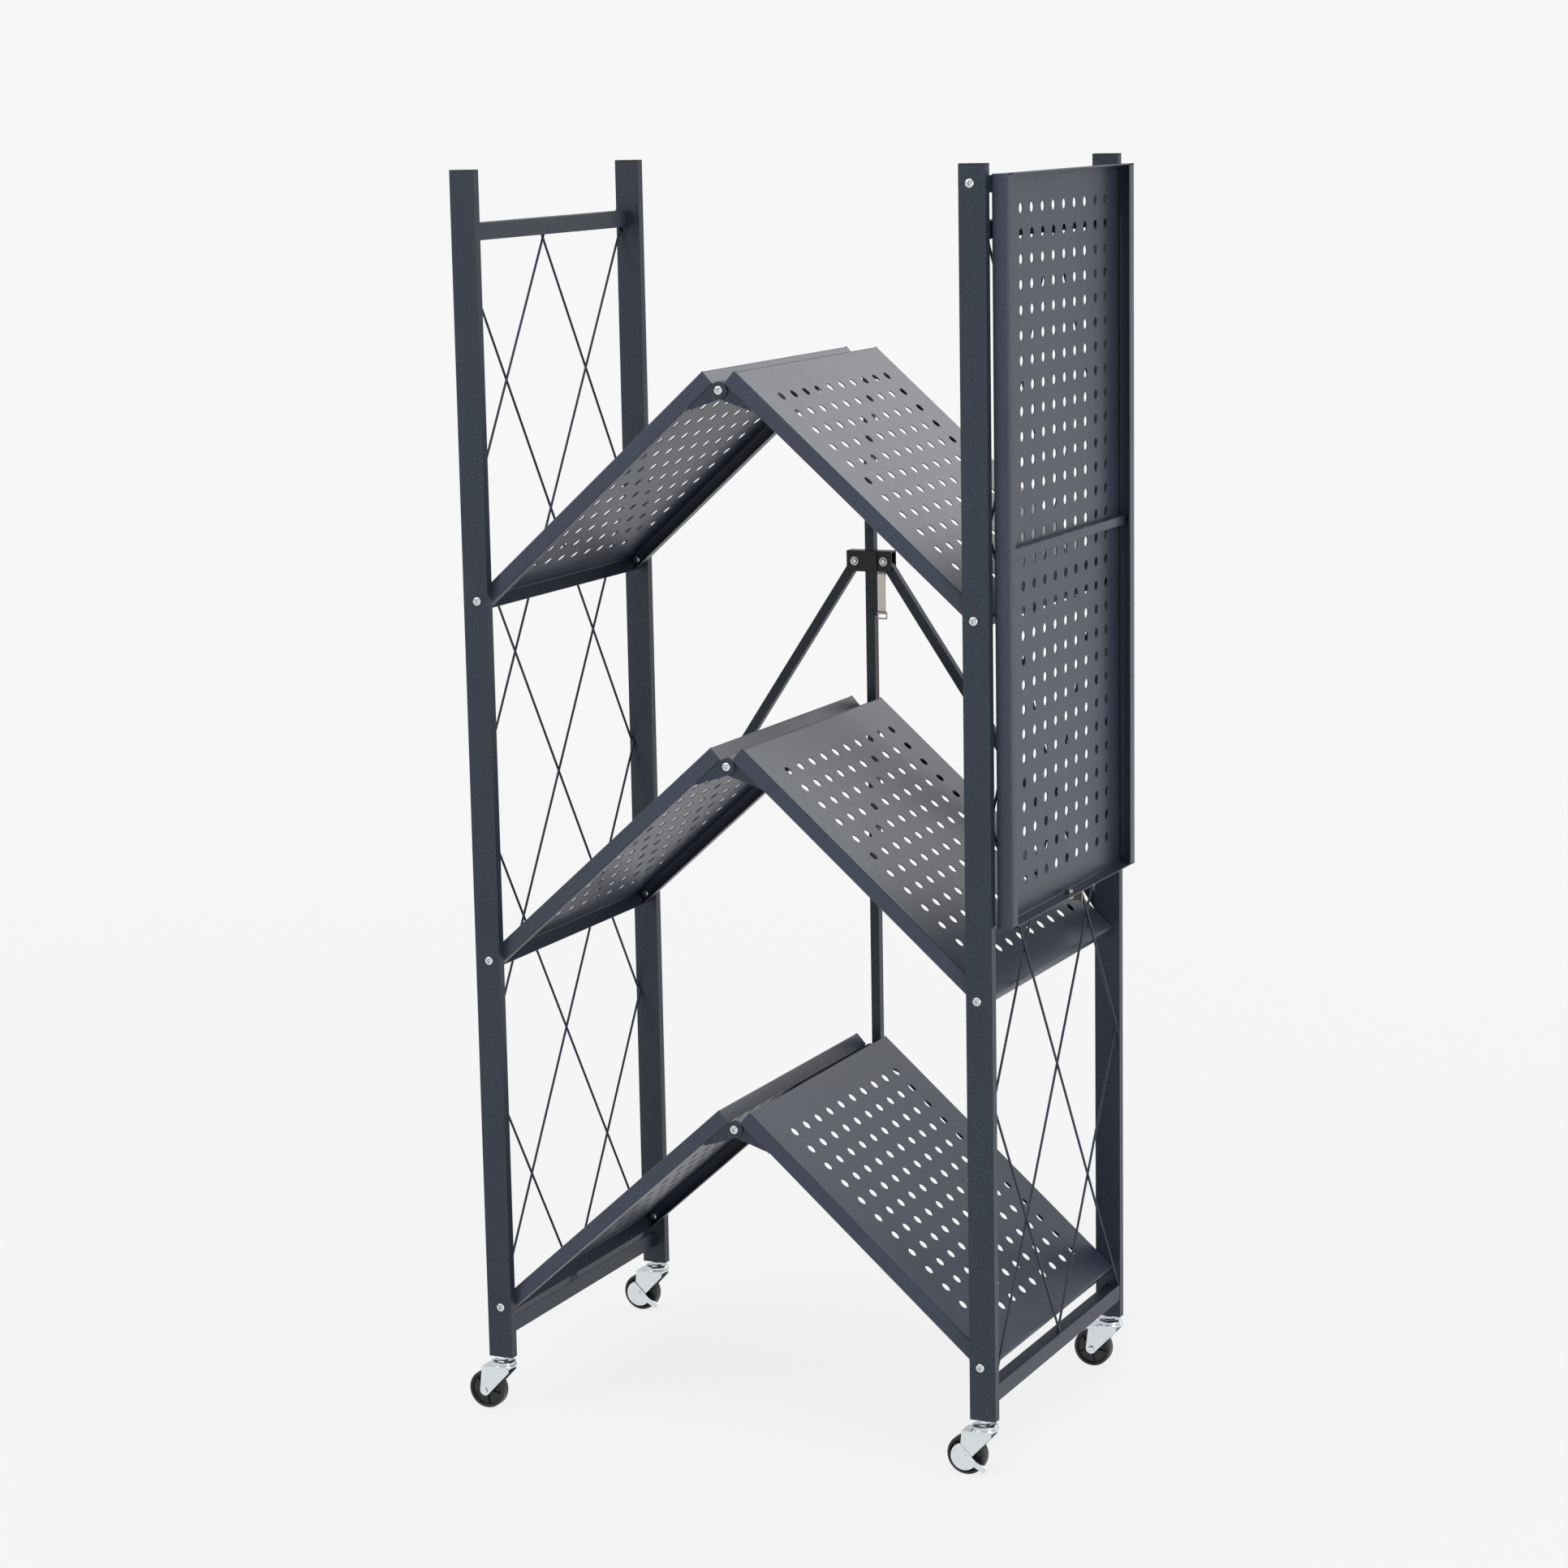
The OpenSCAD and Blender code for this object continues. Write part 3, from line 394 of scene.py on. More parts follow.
def shelfPan(name, length, halfWidth, sheet, height, lip, lipRange, spec):
    # sheet, flanges and lips in the shelf's own frame: x from 0 to length, z down from the top at 0
    t, r = sheet * mm, spec["bendRadius"] * mm
    inner = r + t / 2
    plate = runTree(perforatedSheet, sheetInputs, {
        "Rows": spec["rows"], "Columns": spec["columns"], "Row pitch": spec["rowPitch"] * mm,
        "Column pitch": spec["columnPitch"] * mm, "Hole radius": spec["hole"] / 2 * mm,
        "Length": length - 2 * inner, "Width": 2 * (halfWidth - inner), "Thickness": t},
        name + "Plate", shelfCoat)
    plate.data.transform(Matrix.Translation((length / 2, 0, -t)))
    bm = bmesh.new()
    top, low = -t / 2, -height + t / 2
    for side in (-1, 1):
        plain = [(halfWidth - inner, top), (halfWidth - t / 2, top), (halfWidth - t / 2, -height)]
        lipped = plain[:2] + [(halfWidth - t / 2, low), (halfWidth - lip, low)]
        for line, start, end in ((plain, 0, lipRange[0]), (lipped, *lipRange), (plain, lipRange[1], length)):
            if end - start > 1e-5:
                extruded(bm, bentOutline(line, r, t, spec["bendSteps"]), start, end,
                         lambda u, v, x: Vector((x, side * u, v)))
    for face, sign in ((0, 1), (length, -1)):
        line = [(inner, top), (t / 2, top), (t / 2, -height)]
        extruded(bm, bentOutline(line, r, t, spec["bendSteps"]), -halfWidth + t, halfWidth - t,
                 lambda u, v, y: Vector((face + sign * u, y, v)))
    rim = toObject(name + "Rim", bm, shelfCoat)
    return joined(name, [plate, rim], shelfCoat)


def makeHalfShelves():
    s = halfShelf
    turn = s["restSlope"] + degrees(asin(s["hingeDrop"] / s["linkLength"]))
    reach = sqrt(s["linkLength"] ** 2 - s["hingeDrop"] ** 2) - s["middleGap"]
    length = reach + s["pastPivot"]
    pan = shelfPan("halfShelfPan", length * mm, s["halfDepth"] * mm, s["sheet"], s["height"] * mm,
                   s["lip"] * mm, (0, (length - s["lipBack"]) * mm), s)
    pan.data.transform(Matrix.Translation((-s["pastPivot"] * mm, 0, s["rise"] * mm)))
    for tier, z in zip(("low", "middle", "top"), s["tiers"]):
        for side, sign in (("left", -1), ("right", 1)):
            mesh = pan.data.copy()
            x = s["shiftX"] * mm + sign * s["pivotX"] * mm
            place = Matrix.Translation((x, s["shiftY"] * mm, z * mm))
            lean = Matrix.Rotation(radians(-turn) if sign < 0 else radians(turn), 4, "Y")
            facing = Matrix.Identity(4) if sign < 0 else Matrix.Rotation(pi, 4, "Z")
            mesh.transform(place @ lean @ facing)
            standsFor(meshObject(f"half_shelf_{tier}_{side}", mesh, shelfCoat), f"tray_{tier}_{side}")
    bpy.data.objects.remove(pan)


makeHalfShelves()
print("half shelves ready")

topShelf = {
    "bendRadius": 1.6, "bendSteps": 5, "hole": 10.0, "columns": 10, "rows": 28, "columnPitch": 29.0,
    "rowPitch": 23.8, "sheet": 1.0, "lip": 14.0,
}


def makeTopShelf():
    s = topShelf
    low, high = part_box("top_shelf")
    length, depth, height = high.z - low.z, high.y - low.y, high.x - low.x
    pan = shelfPan("top_shelf_pan", length, depth / 2, s["sheet"], height, s["lip"] * mm, (0, length), s)
    # its top side faces the frame, and its flanges point outwards
    stand = Matrix(((0, 0, -1, low.x), (0, 1, 0, (low.y + high.y) / 2), (-1, 0, 0, high.z), (0, 0, 0, 1)))
    pan.data.transform(stand)
    pan.data.flip_normals()
    standsFor(pan, "top_shelf")


makeTopShelf()
print("top shelf ready")

# tubes, ears, brackets and latches keep the CAD shape, with rounded edges
rounding = {"post": 1.2 * mm, "tube": 1.0 * mm, "plate": 0.35 * mm, "cap": 0.7 * mm, "pressed": 0.4 * mm}
for end in ("front", "rear"):
    for side in ("left", "right"):
        softEdges(f"post_{end}_{side}", frameCoat, rounding["post"], 3)
        softEdges(f"fork_{end}_{side}", casterZinc, rounding["pressed"])
for side in ("left", "right"):
    softEdges(f"crossbars_{side}", frameCoat, rounding["tube"], 3)
    softEdges(f"brace_{side}", frameCoat, rounding["tube"], 3)
    softEdges(f"post_plugs_{side}", capPlastic, rounding["cap"], 3)
    for tier in ("top", "middle", "low"):
        softEdges(f"ears_{tier}_{side}", frameCoat, rounding["plate"])
softEdges("link_bar", frameCoat, rounding["tube"], 3)
softEdges("slider_bracket", blackSteel, rounding["plate"])
softEdges("latch_strip", blackSteel, rounding["plate"])
softEdges("latch_lever", nickel, rounding["plate"])
softEdges("hook_latch", nickel, rounding["plate"])
softEdges("top_stiffener", shelfCoat, rounding["plate"])
softEdges("top_brackets", frameCoat, rounding["plate"])
softEdges("brake_rear_left", casterZinc, rounding["plate"])
softEdges("brake_front_right", casterZinc, rounding["plate"])
for name, material in (("lattice_left", frameCoat), ("lattice_right", frameCoat), ("latch_bail", nickel)):
    nodes[name].data.materials.clear()
    nodes[name].data.materials.append(material)
print("tubes and plates ready")

boltSpec = {
    "shank": 5.0, "head": 9.0, "headHeight": 2.4, "nut": 8.6, "nutHeight": 4.0, "slotWidth": 1.1,
    "slotLength": 4.8, "slotDepth": 1.6, "socket": 3.4, "postHalf": 185.0, "skin": 173.5, "gap": 0.1,
    "ear": 2.0, "play": 0.2, "barFace": 187.5, "barDepth": 10.0,
}


def boltHead(bm, seat, direction, socket=False):
    # a head whose seat is at y = seat and which rises towards direction: a pan head with a cross
    # recess, or a button head with a hexagon socket on its washer
    s = boltSpec
    r, h = s["head"] / 2 * mm, s["headHeight"] * mm
    if socket:
        profile = [(r - 0.1 * mm, 0), (r, 0.1 * mm), (r, 0.5 * mm), (r - 0.1 * mm, 0.6 * mm),
                   (0.8 * r, 0.6 * mm), (0.79 * r, 0.62 * h), (0.7 * r, 0.85 * h), (0.55 * r, 0.98 * h),
                   (0.5 * r, h), (0, h)]
        wide = s["socket"] / 2 * mm
        mouth = [(wide * cos(pi * i / 3), wide * sin(pi * i / 3)) for i in range(6)]
        floor = mouth
    else:
        profile = [(r - 0.1 * mm, 0), (r, 0.15 * h), (r, 0.45 * h), (0.93 * r, 0.7 * h),
                   (0.78 * r, 0.88 * h), (0.55 * r, 0.98 * h), (0, h)]
        w, l = s["slotWidth"] / 2 * mm, s["slotLength"] / 2 * mm
        mouth = [(w, l), (w, w), (l, w), (l, -w), (w, -w), (w, -l),
                 (-w, -l), (-w, -w), (-l, -w), (-l, w), (-w, w), (-w, l)]
        floor = [tuple(c * (0.5 if abs(c) > 1.1 * w else 0.8) for c in corner) for corner in mouth]
    head = bmesh.new()
    lathe(head, profile, Vector((0, 0, 0)), "Z", 32)
    body = toObject("head", head, boltZinc)
    cut = bmesh.new()
    top = [cut.verts.new((x * 1.1, y * 1.1, h * 1.3)) for x, y in mouth]
    bottom = [cut.verts.new((x, y, h - s["slotDepth"] * mm)) for x, y in floor]
    for i in range(len(mouth)):
        j = (i + 1) % len(mouth)
        cut.faces.new((top[i], top[j], bottom[j], bottom[i]))
    cut.faces.new(top)
    cut.faces.new(bottom[::-1])
    cutter = toObject("cutter", cut, boltZinc)
    modifier = body.modifiers.new("recess", "BOOLEAN")
    modifier.operation = "DIFFERENCE"
    modifier.solver = "EXACT"
    modifier.object = cutter
    body = baked(body, "head", boltZinc)
    bpy.data.objects.remove(cutter)
    aim = Matrix.Rotation(radians(90) if direction < 0 else radians(-90), 4, "X")
    body.data.transform(Matrix.Translation((0, seat, 0)) @ aim)
    bm.from_mesh(body.data)
    bpy.data.objects.remove(body)


def hexNut(bm, start, height):
    # six-sided nut with chamfered corners, along Y
    r, c = boltSpec["nut"] / 2 * mm, 0.5 * mm
    hole = boltSpec["shank"] / 2 * mm + 0.06 * mm
    lathe(bm, [(hole, start), (r - c, start), (r, start + c * 0.6), (r, start + height - c * 0.6),
               (r - c, start + height), (hole, start + height), (hole, start)], Vector((0, 0, 0)), "Y", 6)


def boltMesh(length, nutAt=None, farHead=None, spacer=None, socket=False):
    # head's seat at y = 0, shank towards +y
    bm = bmesh.new()
    boltHead(bm, 0, -1, socket)
    r, e = boltSpec["shank"] / 2 * mm, 0.4 * mm
    lathe(bm, [(0, 0), (r, 0), (r, length - e), (r - e, length), (0, length)], Vector((0, 0, 0)), "Y", 24)
    if nutAt is not None:
        hexNut(bm, nutAt, boltSpec["nutHeight"] * mm)
    if spacer:
        hexNut(bm, spacer[0], spacer[1] - spacer[0])
    if farHead is not None:
        boltHead(bm, farHead, 1, socket)
    mesh = bpy.data.meshes.new("bolt")
    bm.to_mesh(mesh)
    bm.free()
    return mesh


def copiesTree():
    # puts a copy of an object on each point, turned by the point's own aim
    tree = bpy.data.node_groups.new("copiesOnPoints", "GeometryNodeTree")
    inputs = {}
    for name, kind in (("Points", "NodeSocketGeometry"), ("Piece", "NodeSocketObject"),
                       ("Material", "NodeSocketMaterial")):
        inputs[name] = tree.interface.new_socket(name, in_out="INPUT", socket_type=kind).identifier
    tree.interface.new_socket("Geometry", in_out="OUTPUT", socket_type="NodeSocketGeometry")
    given = addNode(tree, "NodeGroupInput").outputs
    piece = addNode(tree, "GeometryNodeObjectInfo", links={"Object": given["Piece"]})
    aim = addNode(tree, "GeometryNodeInputNamedAttribute", {"data_type": "FLOAT_VECTOR", "Name": "aim"})
    copies = addNode(tree, "GeometryNodeInstanceOnPoints", links={
        "Points": given["Points"], "Instance": piece.outputs["Geometry"], "Rotation": aim.outputs[0]})
    real = addNode(tree, "GeometryNodeRealizeInstances", links={0: copies.outputs[0]})
    painted = addNode(tree, "GeometryNodeSetMaterial",
                      links={"Geometry": real.outputs[0], "Material": given["Material"]})
    addNode(tree, "NodeGroupOutput", links={0: painted.outputs[0]})
    return tree, inputs


copiesOnPoints, copiesInputs = copiesTree()


def copiesAt(name, source, spots, material, sharp=35):
    # spots holds (place, turn) pairs; turn is an Euler triple
    points = bpy.data.meshes.new(name)
    points.from_pydata([tuple(place) for place, turn in spots], [], [])
    aim = points.attributes.new("aim", "FLOAT_VECTOR", "POINT")
    for entry, (place, turn) in zip(aim.data, spots):
        entry.vector = turn
    template = bpy.data.objects.new(name + "Template", source)
    bpy.context.scene.collection.objects.link(template)
    piece = runTree(copiesOnPoints, copiesInputs, {"Piece": template}, name, material, points)
    bpy.data.objects.remove(template)
    piece.data.set_sharp_from_angle(angle=radians(sharp))
    return piece


def makeBolts():
    # lengths come from the sizes above, and the slider's bolts from their solids' box
    s, b = halfShelf, boltSpec
    half, skin, gap, ear = b["postHalf"], b["skin"], b["gap"], b["ear"]
    barFace, barDepth = b["barFace"], b["barDepth"]
    past = b["nutHeight"] + s["sheet"]
    centre = Vector((s["shiftX"], s["shiftY"], 0))
    front, back = (0, 0, 0), (0, 0, pi)
    seat = half - skin + gap
    bolt = boltMesh((seat + past) * mm, seat * mm)
    for side, sign in (("left", -1), ("right", 1)):
        spots = []
        for z in s["tiers"]:
            for y, turn in ((-half, front), (half, back)):
                spots.append(((Vector((sign * s["pivotX"], y, z)) + centre) * mm, turn))
        standsFor(copiesAt(f"pivot_bolts_{side}", bolt, spots, boltZinc), f"post_bolts_{side}")
    reach = half - skin + ear + gap
    low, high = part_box("top_bolts")
    spots = [(Vector(((low.x + high.x) / 2, (y + s["shiftY"]) * mm, (low.z + high.z) / 2)), turn)
             for y, turn in ((-half, front), (half, back))]
    bolt = boltMesh((reach + past) * mm, reach * mm)
    standsFor(copiesAt("top_shelf_bolts", bolt, spots, boltZinc), "top_bolts")
    # middle pivots: short bolt in front, long one through the link bar behind
    grip = 2 * ear + b["play"] + gap
    stand = barFace - skin
    shortBolt = boltMesh((grip + gap + past) * mm, (grip + gap) * mm)
    longBolt = boltMesh((barDepth + stand + grip + past) * mm, (barDepth + stand + grip) * mm,
                        spacer=(barDepth * mm, (barDepth + stand - gap) * mm))
    rise = s["linkLength"] * sin(radians(s["restSlope"]))
    frontSpots = [((Vector((0, -skin - gap, z + rise)) + centre) * mm, front) for z in s["tiers"]]
    backSpots = [((Vector((0, barFace + barDepth, z + rise)) + centre) * mm, back) for z in s["tiers"]]
    middle = joined("middle_pivot_bolts", [copiesAt("short", shortBolt, frontSpots, boltZinc),
                                           copiesAt("long", longBolt, backSpots, boltZinc)], boltZinc)
    standsFor(middle, "middle_bolts_top", "middle_bolts_middle", "middle_bolts_low")
    low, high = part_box("slider_bolts")
    headHeight, r = b["headHeight"] * mm, b["head"] / 2 * mm
    length = high.y - low.y - 2 * headHeight
    spots = [(Vector((x, low.y + headHeight, (low.z + high.z) / 2)), front) for x in (low.x + r, high.x - r)]
    pivot = boltMesh(length, farHead=length, socket=True)
    standsFor(copiesAt("slider_pivot_bolts", pivot, spots, boltZinc), "slider_bolts")


makeBolts()
print("bolts ready")

weldSpec = {
    "rodX": 277.67, "postY": 175.0, "lump": (2.8, 1.5, 3.6), "bead": (1.0, 1.0, 1.3), "step": 1.7,
    "barWidth": 15.0, "barHeight": 17.0, "cells": 4, "sunk": 0.3,
}


def blobMesh(size, steps=10):
    # a drop of weld metal with its middle at zero
    bm = bmesh.new()
    lathe(bm, [(sin(pi * i / 5), -cos(pi * i / 5)) for i in range(6)], Vector((0, 0, 0)), "Z", steps)
    bmesh.ops.recalc_face_normals(bm, faces=bm.faces)
    mesh = bpy.data.meshes.new("blob")
    bm.to_mesh(mesh)
    bm.free()
    mesh.transform(Matrix.Diagonal((size[0] * mm, size[1] * mm, size[2] * mm, 1)))
    return mesh


def makeWelds():
    # a drop where each rod ends, and a row of beads round each end of a crossbar
    s = weldSpec
    lump, bead = blobMesh(s["lump"]), blobMesh(s["bead"])
    for side, sign in (("left", -1), ("right", 1)):
        low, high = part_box(f"crossbars_{side}")
        middle = (low.y + high.y) / 2
        bottom, top = low.z + s["barHeight"] * mm, high.z - s["barHeight"] * mm
        x = (halfShelf["shiftX"] + sign * s["rodX"]) * mm
        drops = [(Vector((x, middle, z)), (pi / 2, 0, 0)) for z in (bottom, top)]
        for k in range(s["cells"] + 1):
            z = bottom + (top - bottom) * k / s["cells"]
            z = min(max(z, bottom + s["lump"][1] * mm), top - s["lump"][1] * mm)
            drops += [(Vector((x, middle + end * s["postY"] * mm, z)), (0, 0, 0)) for end in (-1, 1)]
        beads = []
        for base in (low.z, top):
            for end in (-1, 1):
                y = middle + end * (s["postY"] - s["sunk"]) * mm
                for i in range(int(s["barHeight"] / s["step"]) + 1):
                    face = low.x if sign > 0 else high.x
                    beads.append((Vector((face, y, base + i * s["step"] * mm)), (0, 0, 0)))
                for i in range(int(s["barWidth"] / s["step"]) + 1):
                    for z in (base, base + s["barHeight"] * mm):
                        beads.append((Vector((low.x + i * s["step"] * mm, y, z)), (0, pi / 2, 0)))
        pieces = [copiesAt(name, source, spots, frameCoat, 80)
                  for name, source, spots in (("drops", lump, drops), ("beads", bead, beads))]
        welds = joined(f"frame_welds_{side}", pieces, frameCoat, 80)
        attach(welds, nodes[f"crossbars_{side}"]["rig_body"])
    # the stiffener is welded to the side flanges
    low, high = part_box("top_stiffener")
    ends = [(Vector((high.x - i * s["step"] * mm, y, z)), (0, 0, 0)) for y in (low.y, high.y)
            for z in (low.z, high.z) for i in range(int((high.x - low.x) / mm / s["step"]))]
    seam = copiesAt("stiffener_welds", bead, ends, shelfCoat, 80)
    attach(seam, nodes["top_stiffener"]["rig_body"])


makeWelds()
print("welds ready")

casterSpec = {
    "height": 57.0, "wheel": 40.0, "width": 15.0, "axle": 5.0, "hub": 10.0, "tread": 3.0, "treadRound": 2.2,
    "recess": 3.4, "spokes": 5, "spokeTurn": 11, "ringWidth": 28.0, "ringHeight": 7.5, "neck": 3.5,
    "stem": 5.2, "nut": 12.0, "rivet": 8.8, "forkGap": 0.8, "fork": 1.5,
}


def wheelMesh():
    # moulded wheel along Y: rounded tread, recessed face and hub; its thin spokes are made apart and joined
    # on in makeCasters
    s = casterSpec
    r, w, hub = (s[key] / 2 * mm for key in ("wheel", "width", "hub"))
    bore = s["axle"] / 2 * mm + 0.06 * mm
    side, tread, bend, recess = w - 1.0 * mm, r - s["tread"] * mm, s["treadRound"] * mm, s["recess"] * mm
    outer = [(tread, -side)]
    for i in range(7):
        a = -pi / 2 + i / 6 * pi / 2
        outer.append((r - bend + bend * cos(a), -side + bend + bend * sin(a)))
    face = [(bore, -w), (hub - 0.3 * mm, -w), (hub, -w + 0.3 * mm), (hub + 0.3 * mm, -w + recess),
            (tread - 1.2 * mm, -w + recess), (tread - 0.4 * mm, -side + 0.3 * mm)]
    half = face + outer
    profile = half + [(a, -b) for a, b in half[::-1]] + [half[0]]
    bm = bmesh.new()
    lathe(bm, profile, Vector((0, 0, 0)), "Y", 64)
    return toObject("wheelBlank", bm, wheelPlastic, 30)


def spokeMesh():
    s = casterSpec
    w = s["width"] / 2 * mm
    bm = bmesh.new()
    inner, outer = 4.7 * mm, s["wheel"] / 2 * mm - 4.0 * mm
    outline = [(-0.5 * mm, 0), (-0.4 * mm, 2.1 * mm), (-0.2 * mm, 2.4 * mm), (0.2 * mm, 2.4 * mm),
               (0.4 * mm, 2.1 * mm), (0.5 * mm, 0)]
    for face in (-1, 1):
        extruded(bm, outline, inner, outer, lambda u, v, x: Vector((x, face * (w - 3.5 * mm + v), u)))
    mesh = bpy.data.meshes.new("spoke")
    bmesh.ops.recalc_face_normals(bm, faces=bm.faces)
    bm.to_mesh(mesh)
    bm.free()
    return mesh


def makeCasters():
    s = casterSpec
    blank, spoke = wheelMesh(), spokeMesh()
    spots = [(Vector((0, 0, 0)), (0, 2 * pi * i / s["spokes"], 0)) for i in range(s["spokes"])]
    spokes = copiesAt("spokes", spoke, spots, wheelPlastic)
    wheel = joined("wheelWhole", [blank, spokes], wheelPlastic, 30)
    for end in ("front", "rear"):
        for side in ("left", "right"):
            low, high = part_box(f"wheel_{end}_{side}")
            centre = (low + high) / 2
            mesh = wheel.data.copy()
            mesh.transform(Matrix.Translation(centre) @ Matrix.Rotation(radians(s["spokeTurn"]), 4, "Y"))
            standsFor(meshObject(f"caster_wheel_{end}_{side}", mesh, wheelPlastic, 30), f"wheel_{end}_{side}")
            low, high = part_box(f"axle_{end}_{side}")
            bm = bmesh.new()
            r, length, e = s["axle"] / 2 * mm, high.y - low.y, 0.5 * mm
            wide = (high.z - low.z) / 2
            leg = (s["width"] / 2 + s["forkGap"] + s["fork"]) * mm
            back, front = centre.y + leg - low.y + 0.05 * mm, 1.0 * mm
            lathe(bm, [(0, 0.25 * mm), (r * 0.5, 0.2 * mm), (r * 0.6, 0), (r, 0.1 * mm), (wide, e),
                       (wide, front - 0.1 * mm), (r, front - 0.05 * mm), (r, back), (wide, back),
                       (wide, length - e), (r, length - 0.05 * mm), (0, length)],
                  Vector((centre.x, low.y, centre.z)), "Y", 32)
            standsFor(toObject(f"caster_axle_{end}_{side}", bm, casterZinc, 30), f"axle_{end}_{side}")
            low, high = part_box(f"stem_{end}_{side}")
            centre = (low + high) / 2
            bm = bmesh.new()
            axis = Vector((centre.x, centre.y, 0))
            ring, stem, rivet, sheet = (s[key] / 2 * mm for key in ("ringWidth", "stem", "rivet", "fork"))
            base = (s["height"] - s["neck"] - s["ringHeight"] + 0.1) * mm
            foot = base - 0.1 * mm - 4 * sheet
            lathe(bm, [(0, foot), (rivet - 0.9 * mm, foot), (rivet - 0.2 * mm, foot + 0.5 * mm),
                       (rivet, foot + 1.3 * mm), (stem, foot + 1.35 * mm), (stem, high.z - 0.5 * mm),
                       (stem - 0.5 * mm, high.z), (0, high.z)], axis, "Z", 32)
            # two pressed rings, the lower one wider, with the ball track's groove between them
            outline = [(-9, 0), (-1.2, 0), (-0.5, 0.2), (-0.1, 0.7), (0, 1.5), (-0.1, 2.4), (-0.5, 3.0),
                       (-1.3, 3.3), (-1.75, 3.6), (-1.8, 3.9), (-1.5, 4.1), (-1.0, 4.4), (-0.9, 5.0),
                       (-1.1, 5.7), (-1.9, 6.3), (-3.2, 6.8), (-4.6, 7.0), (-9, 7.0)]
            lathe(bm, [(ring + r * mm, base + z * mm) for r, z in outline + outline[:1]], axis, "Z", 64)
            nut, low = s["nut"] / 2 * mm, (s["height"] - s["neck"]) * mm
            lathe(bm, [(stem, low), (nut - 0.5 * mm, low), (nut, low + 0.4 * mm), (nut, low + 2.8 * mm),
                       (nut - 0.5 * mm, low + 3.3 * mm), (stem, low + 3.3 * mm), (stem, low)], axis, "Z", 6)
            standsFor(toObject(f"caster_stem_{end}_{side}", bm, casterZinc, 30), f"stem_{end}_{side}")
    bpy.data.objects.remove(wheel)


makeCasters()
print("casters ready")

studio = {
    "background": "#f7f7f7", "floorTone": "#ededed", "worldTone": "#f2f4f6", "worldStrength": 0.75,
    "shadowNear": 0.8, "shadowFar": 4.0, "shadowShare": 0.88, "lampAim": (0, 0, 0.6), "lens": 90.553,
    "yaw": -25.794, "pitch": 11.191, "roll": -1.308, "position": (1636.4, -3617.9, 1345.3),
    "shift": (0.0518, 0.0518),
}
# place and diameter in metres, power in watts
lamps = {
    "keyLight": ((-2.2, -3.0, 3.0), 1.8, 38), "fillLight": ((3.2, -1.6, 2.0), 1.6, 18),
    "rimLight": ((0.5, 3.2, 2.6), 1.6, 16), "lowLight": ((2.8, -1.2, 0.3), 1.4, 14),
    "topLight": ((0.4, -1.4, 3.6), 1.0, 16),
}


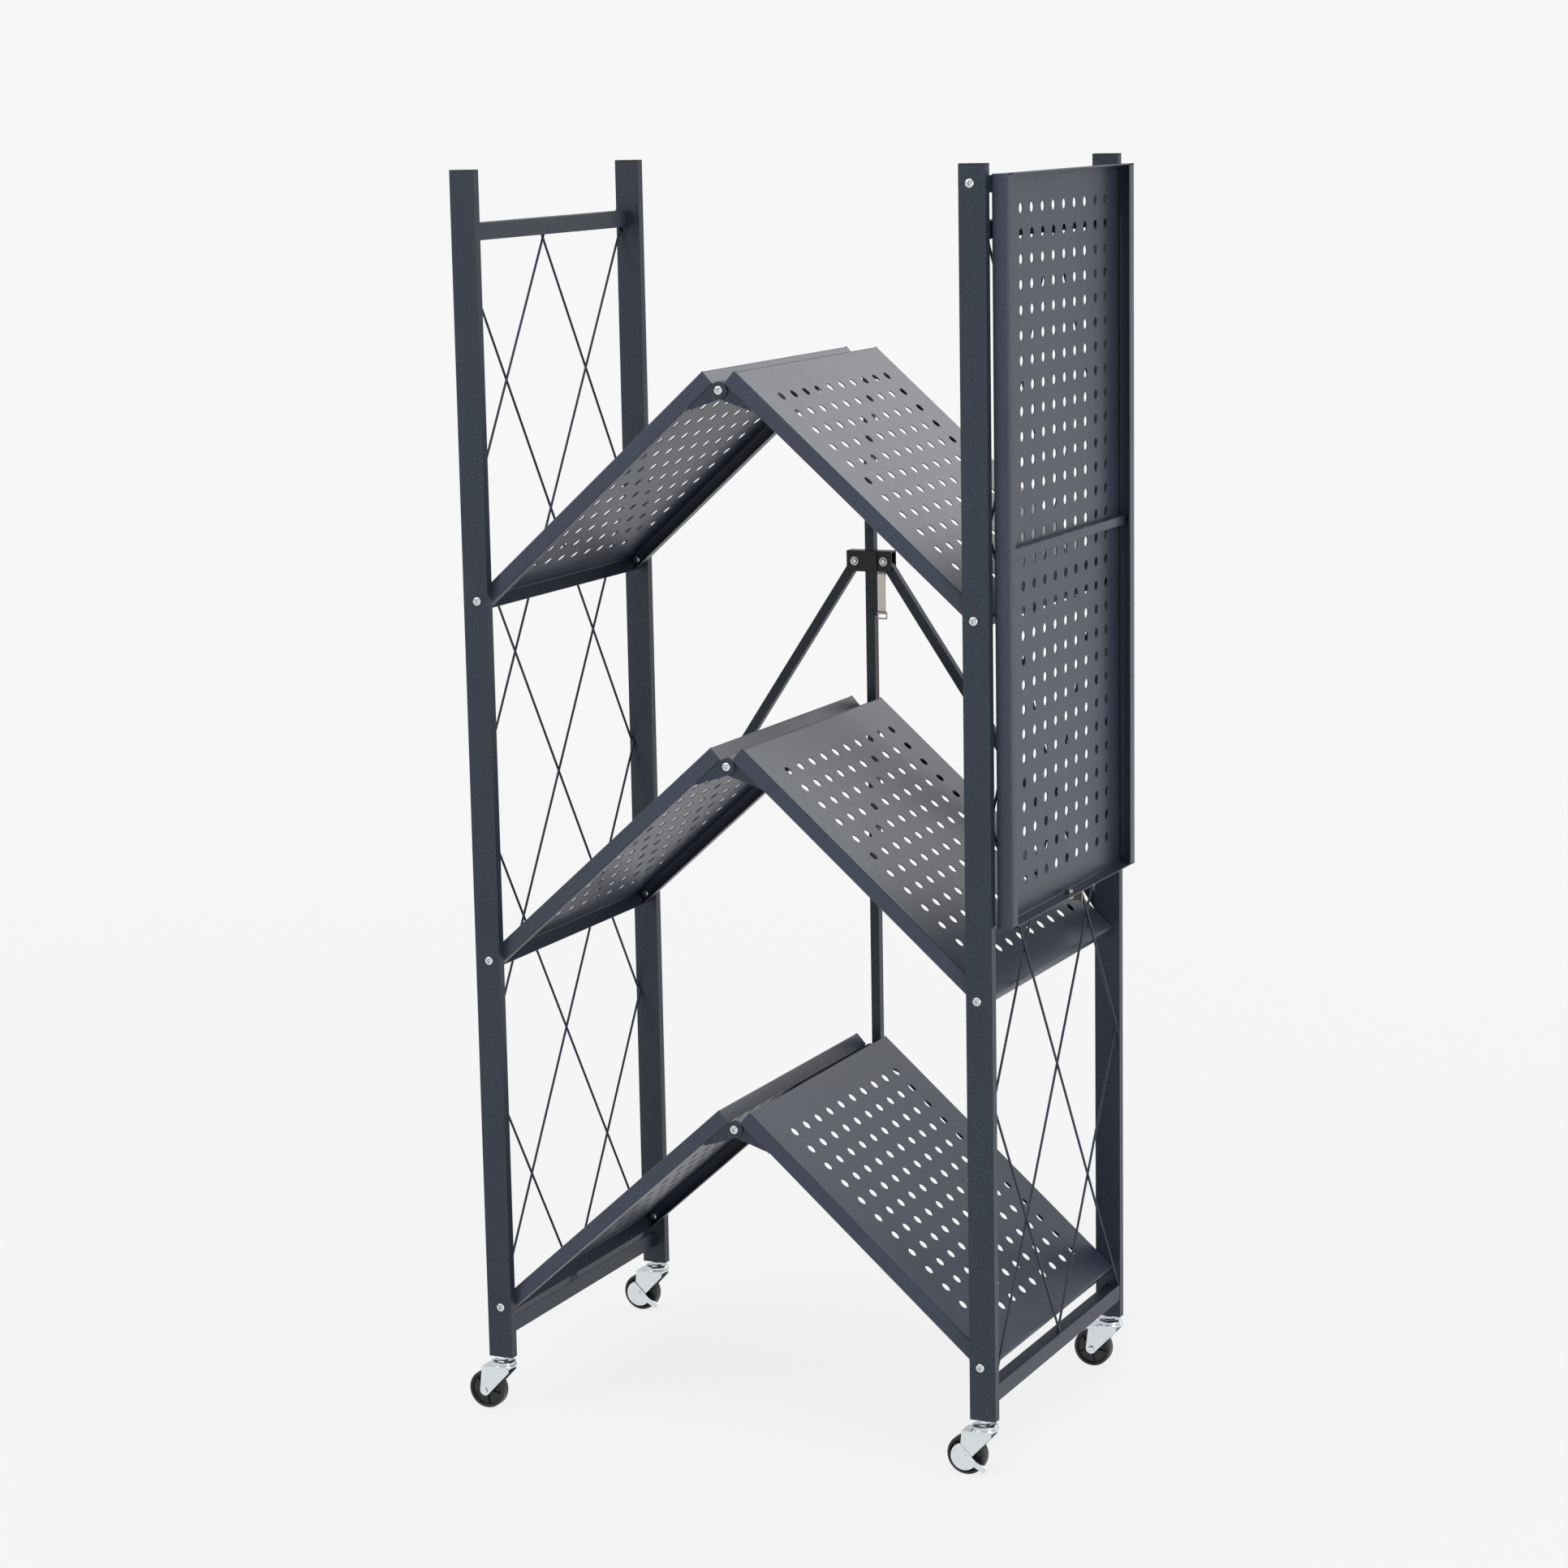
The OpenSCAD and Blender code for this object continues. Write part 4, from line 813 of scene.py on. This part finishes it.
def makeFloor():
    bm = bmesh.new()
    bmesh.ops.create_circle(bm, cap_ends=True, segments=64, radius=60.0)
    mesh = bpy.data.meshes.new("floor")
    bm.to_mesh(mesh)
    bm.free()
    material, tree, shader, place = newMaterial("matteStudioPaint")
    shader.inputs["Base Color"].default_value = linear(studio["floorTone"])
    shader.inputs["Roughness"].default_value = 0.9
    shader.inputs["Specular IOR Level"].default_value = 0.0
    path = addNode(tree, "ShaderNodeLightPath")
    seen = addNode(tree, "ShaderNodeMath", {"operation": "MAXIMUM"},
                   {0: path.outputs["Is Camera Ray"], 1: path.outputs["Is Glossy Ray"]})
    seen = addNode(tree, "ShaderNodeMath", {"operation": "MAXIMUM"},
                   {0: seen.outputs[0], 1: path.outputs["Is Transmission Ray"]})
    # near the object the floor takes its shadow, and further off it runs into the background
    far = addNode(tree, "ShaderNodeVectorMath", {"operation": "LENGTH"}, {0: place})
    keep = remap(tree, far.outputs["Value"], (studio["shadowNear"], studio["shadowFar"]),
                 (studio["shadowShare"], 1.0))
    share = addNode(tree, "ShaderNodeMath", {"operation": "MULTIPLY"}, {0: seen.outputs[0], 1: keep})
    glow = addNode(tree, "ShaderNodeEmission", {"Color": linear(studio["background"]), "Strength": 1.0})
    mix = addNode(tree, "ShaderNodeMixShader",
                  links={0: share.outputs[0], 1: shader.outputs[0], 2: glow.outputs[0]})
    output = [n for n in tree.nodes if n.type == "OUTPUT_MATERIAL"][0]
    tree.links.new(mix.outputs[0], output.inputs["Surface"])
    mesh.materials.append(material)
    floor = bpy.data.objects.new("floor", mesh)
    bpy.context.scene.collection.objects.link(floor)


def makeLight():
    world = bpy.data.worlds.new("studio")
    bpy.context.scene.world = world
    world.use_nodes = True
    tree = world.node_tree
    tree.nodes.clear()
    path = addNode(tree, "ShaderNodeLightPath")
    plain = addNode(tree, "ShaderNodeBackground",
                    {"Color": linear(studio["worldTone"]), "Strength": studio["worldStrength"]})
    shown = addNode(tree, "ShaderNodeBackground", {"Color": linear(studio["background"]), "Strength": 1.0})
    mix = addNode(tree, "ShaderNodeMixShader",
                  links={0: path.outputs["Is Camera Ray"], 1: plain.outputs[0], 2: shown.outputs[0]})
    addNode(tree, "ShaderNodeOutputWorld", links={0: mix.outputs[0]})
    for name, (place, size, power) in lamps.items():
        light = bpy.data.lights.new(name, "AREA")
        light.shape = "DISK"
        light.size = size
        light.energy = power
        lamp = bpy.data.objects.new(name, light)
        lamp.location = place
        lamp.visible_camera = False
        towards = Vector(studio["lampAim"]) - Vector(place)
        lamp.rotation_euler = towards.to_track_quat("-Z", "Y").to_euler()
        bpy.context.scene.collection.objects.link(lamp)


def makeCamera():
    s = studio
    yaw, pitch, roll = (radians(s[key]) for key in ("yaw", "pitch", "roll"))
    forward = Vector((sin(yaw) * cos(pitch), cos(yaw) * cos(pitch), -sin(pitch)))
    level = Vector((cos(yaw), -sin(yaw), 0))
    above = level.cross(forward)
    right = level * cos(roll) + above * sin(roll)
    up = above * cos(roll) - level * sin(roll)
    data = bpy.data.cameras.new("camera")
    data.sensor_width = 36
    data.lens = s["lens"]
    data.shift_x, data.shift_y = s["shift"]
    data.clip_end = 100
    camera = bpy.data.objects.new("camera", data)
    bpy.context.scene.collection.objects.link(camera)
    turn = Matrix((right, up, -forward)).transposed()
    camera.matrix_world = Matrix.Translation(Vector(s["position"]) * mm) @ turn.to_4x4()
    bpy.context.scene.camera = camera


makeFloor()
makeLight()
makeCamera()
bpy.context.scene.view_settings.view_transform = "Standard"
print("stage ready")
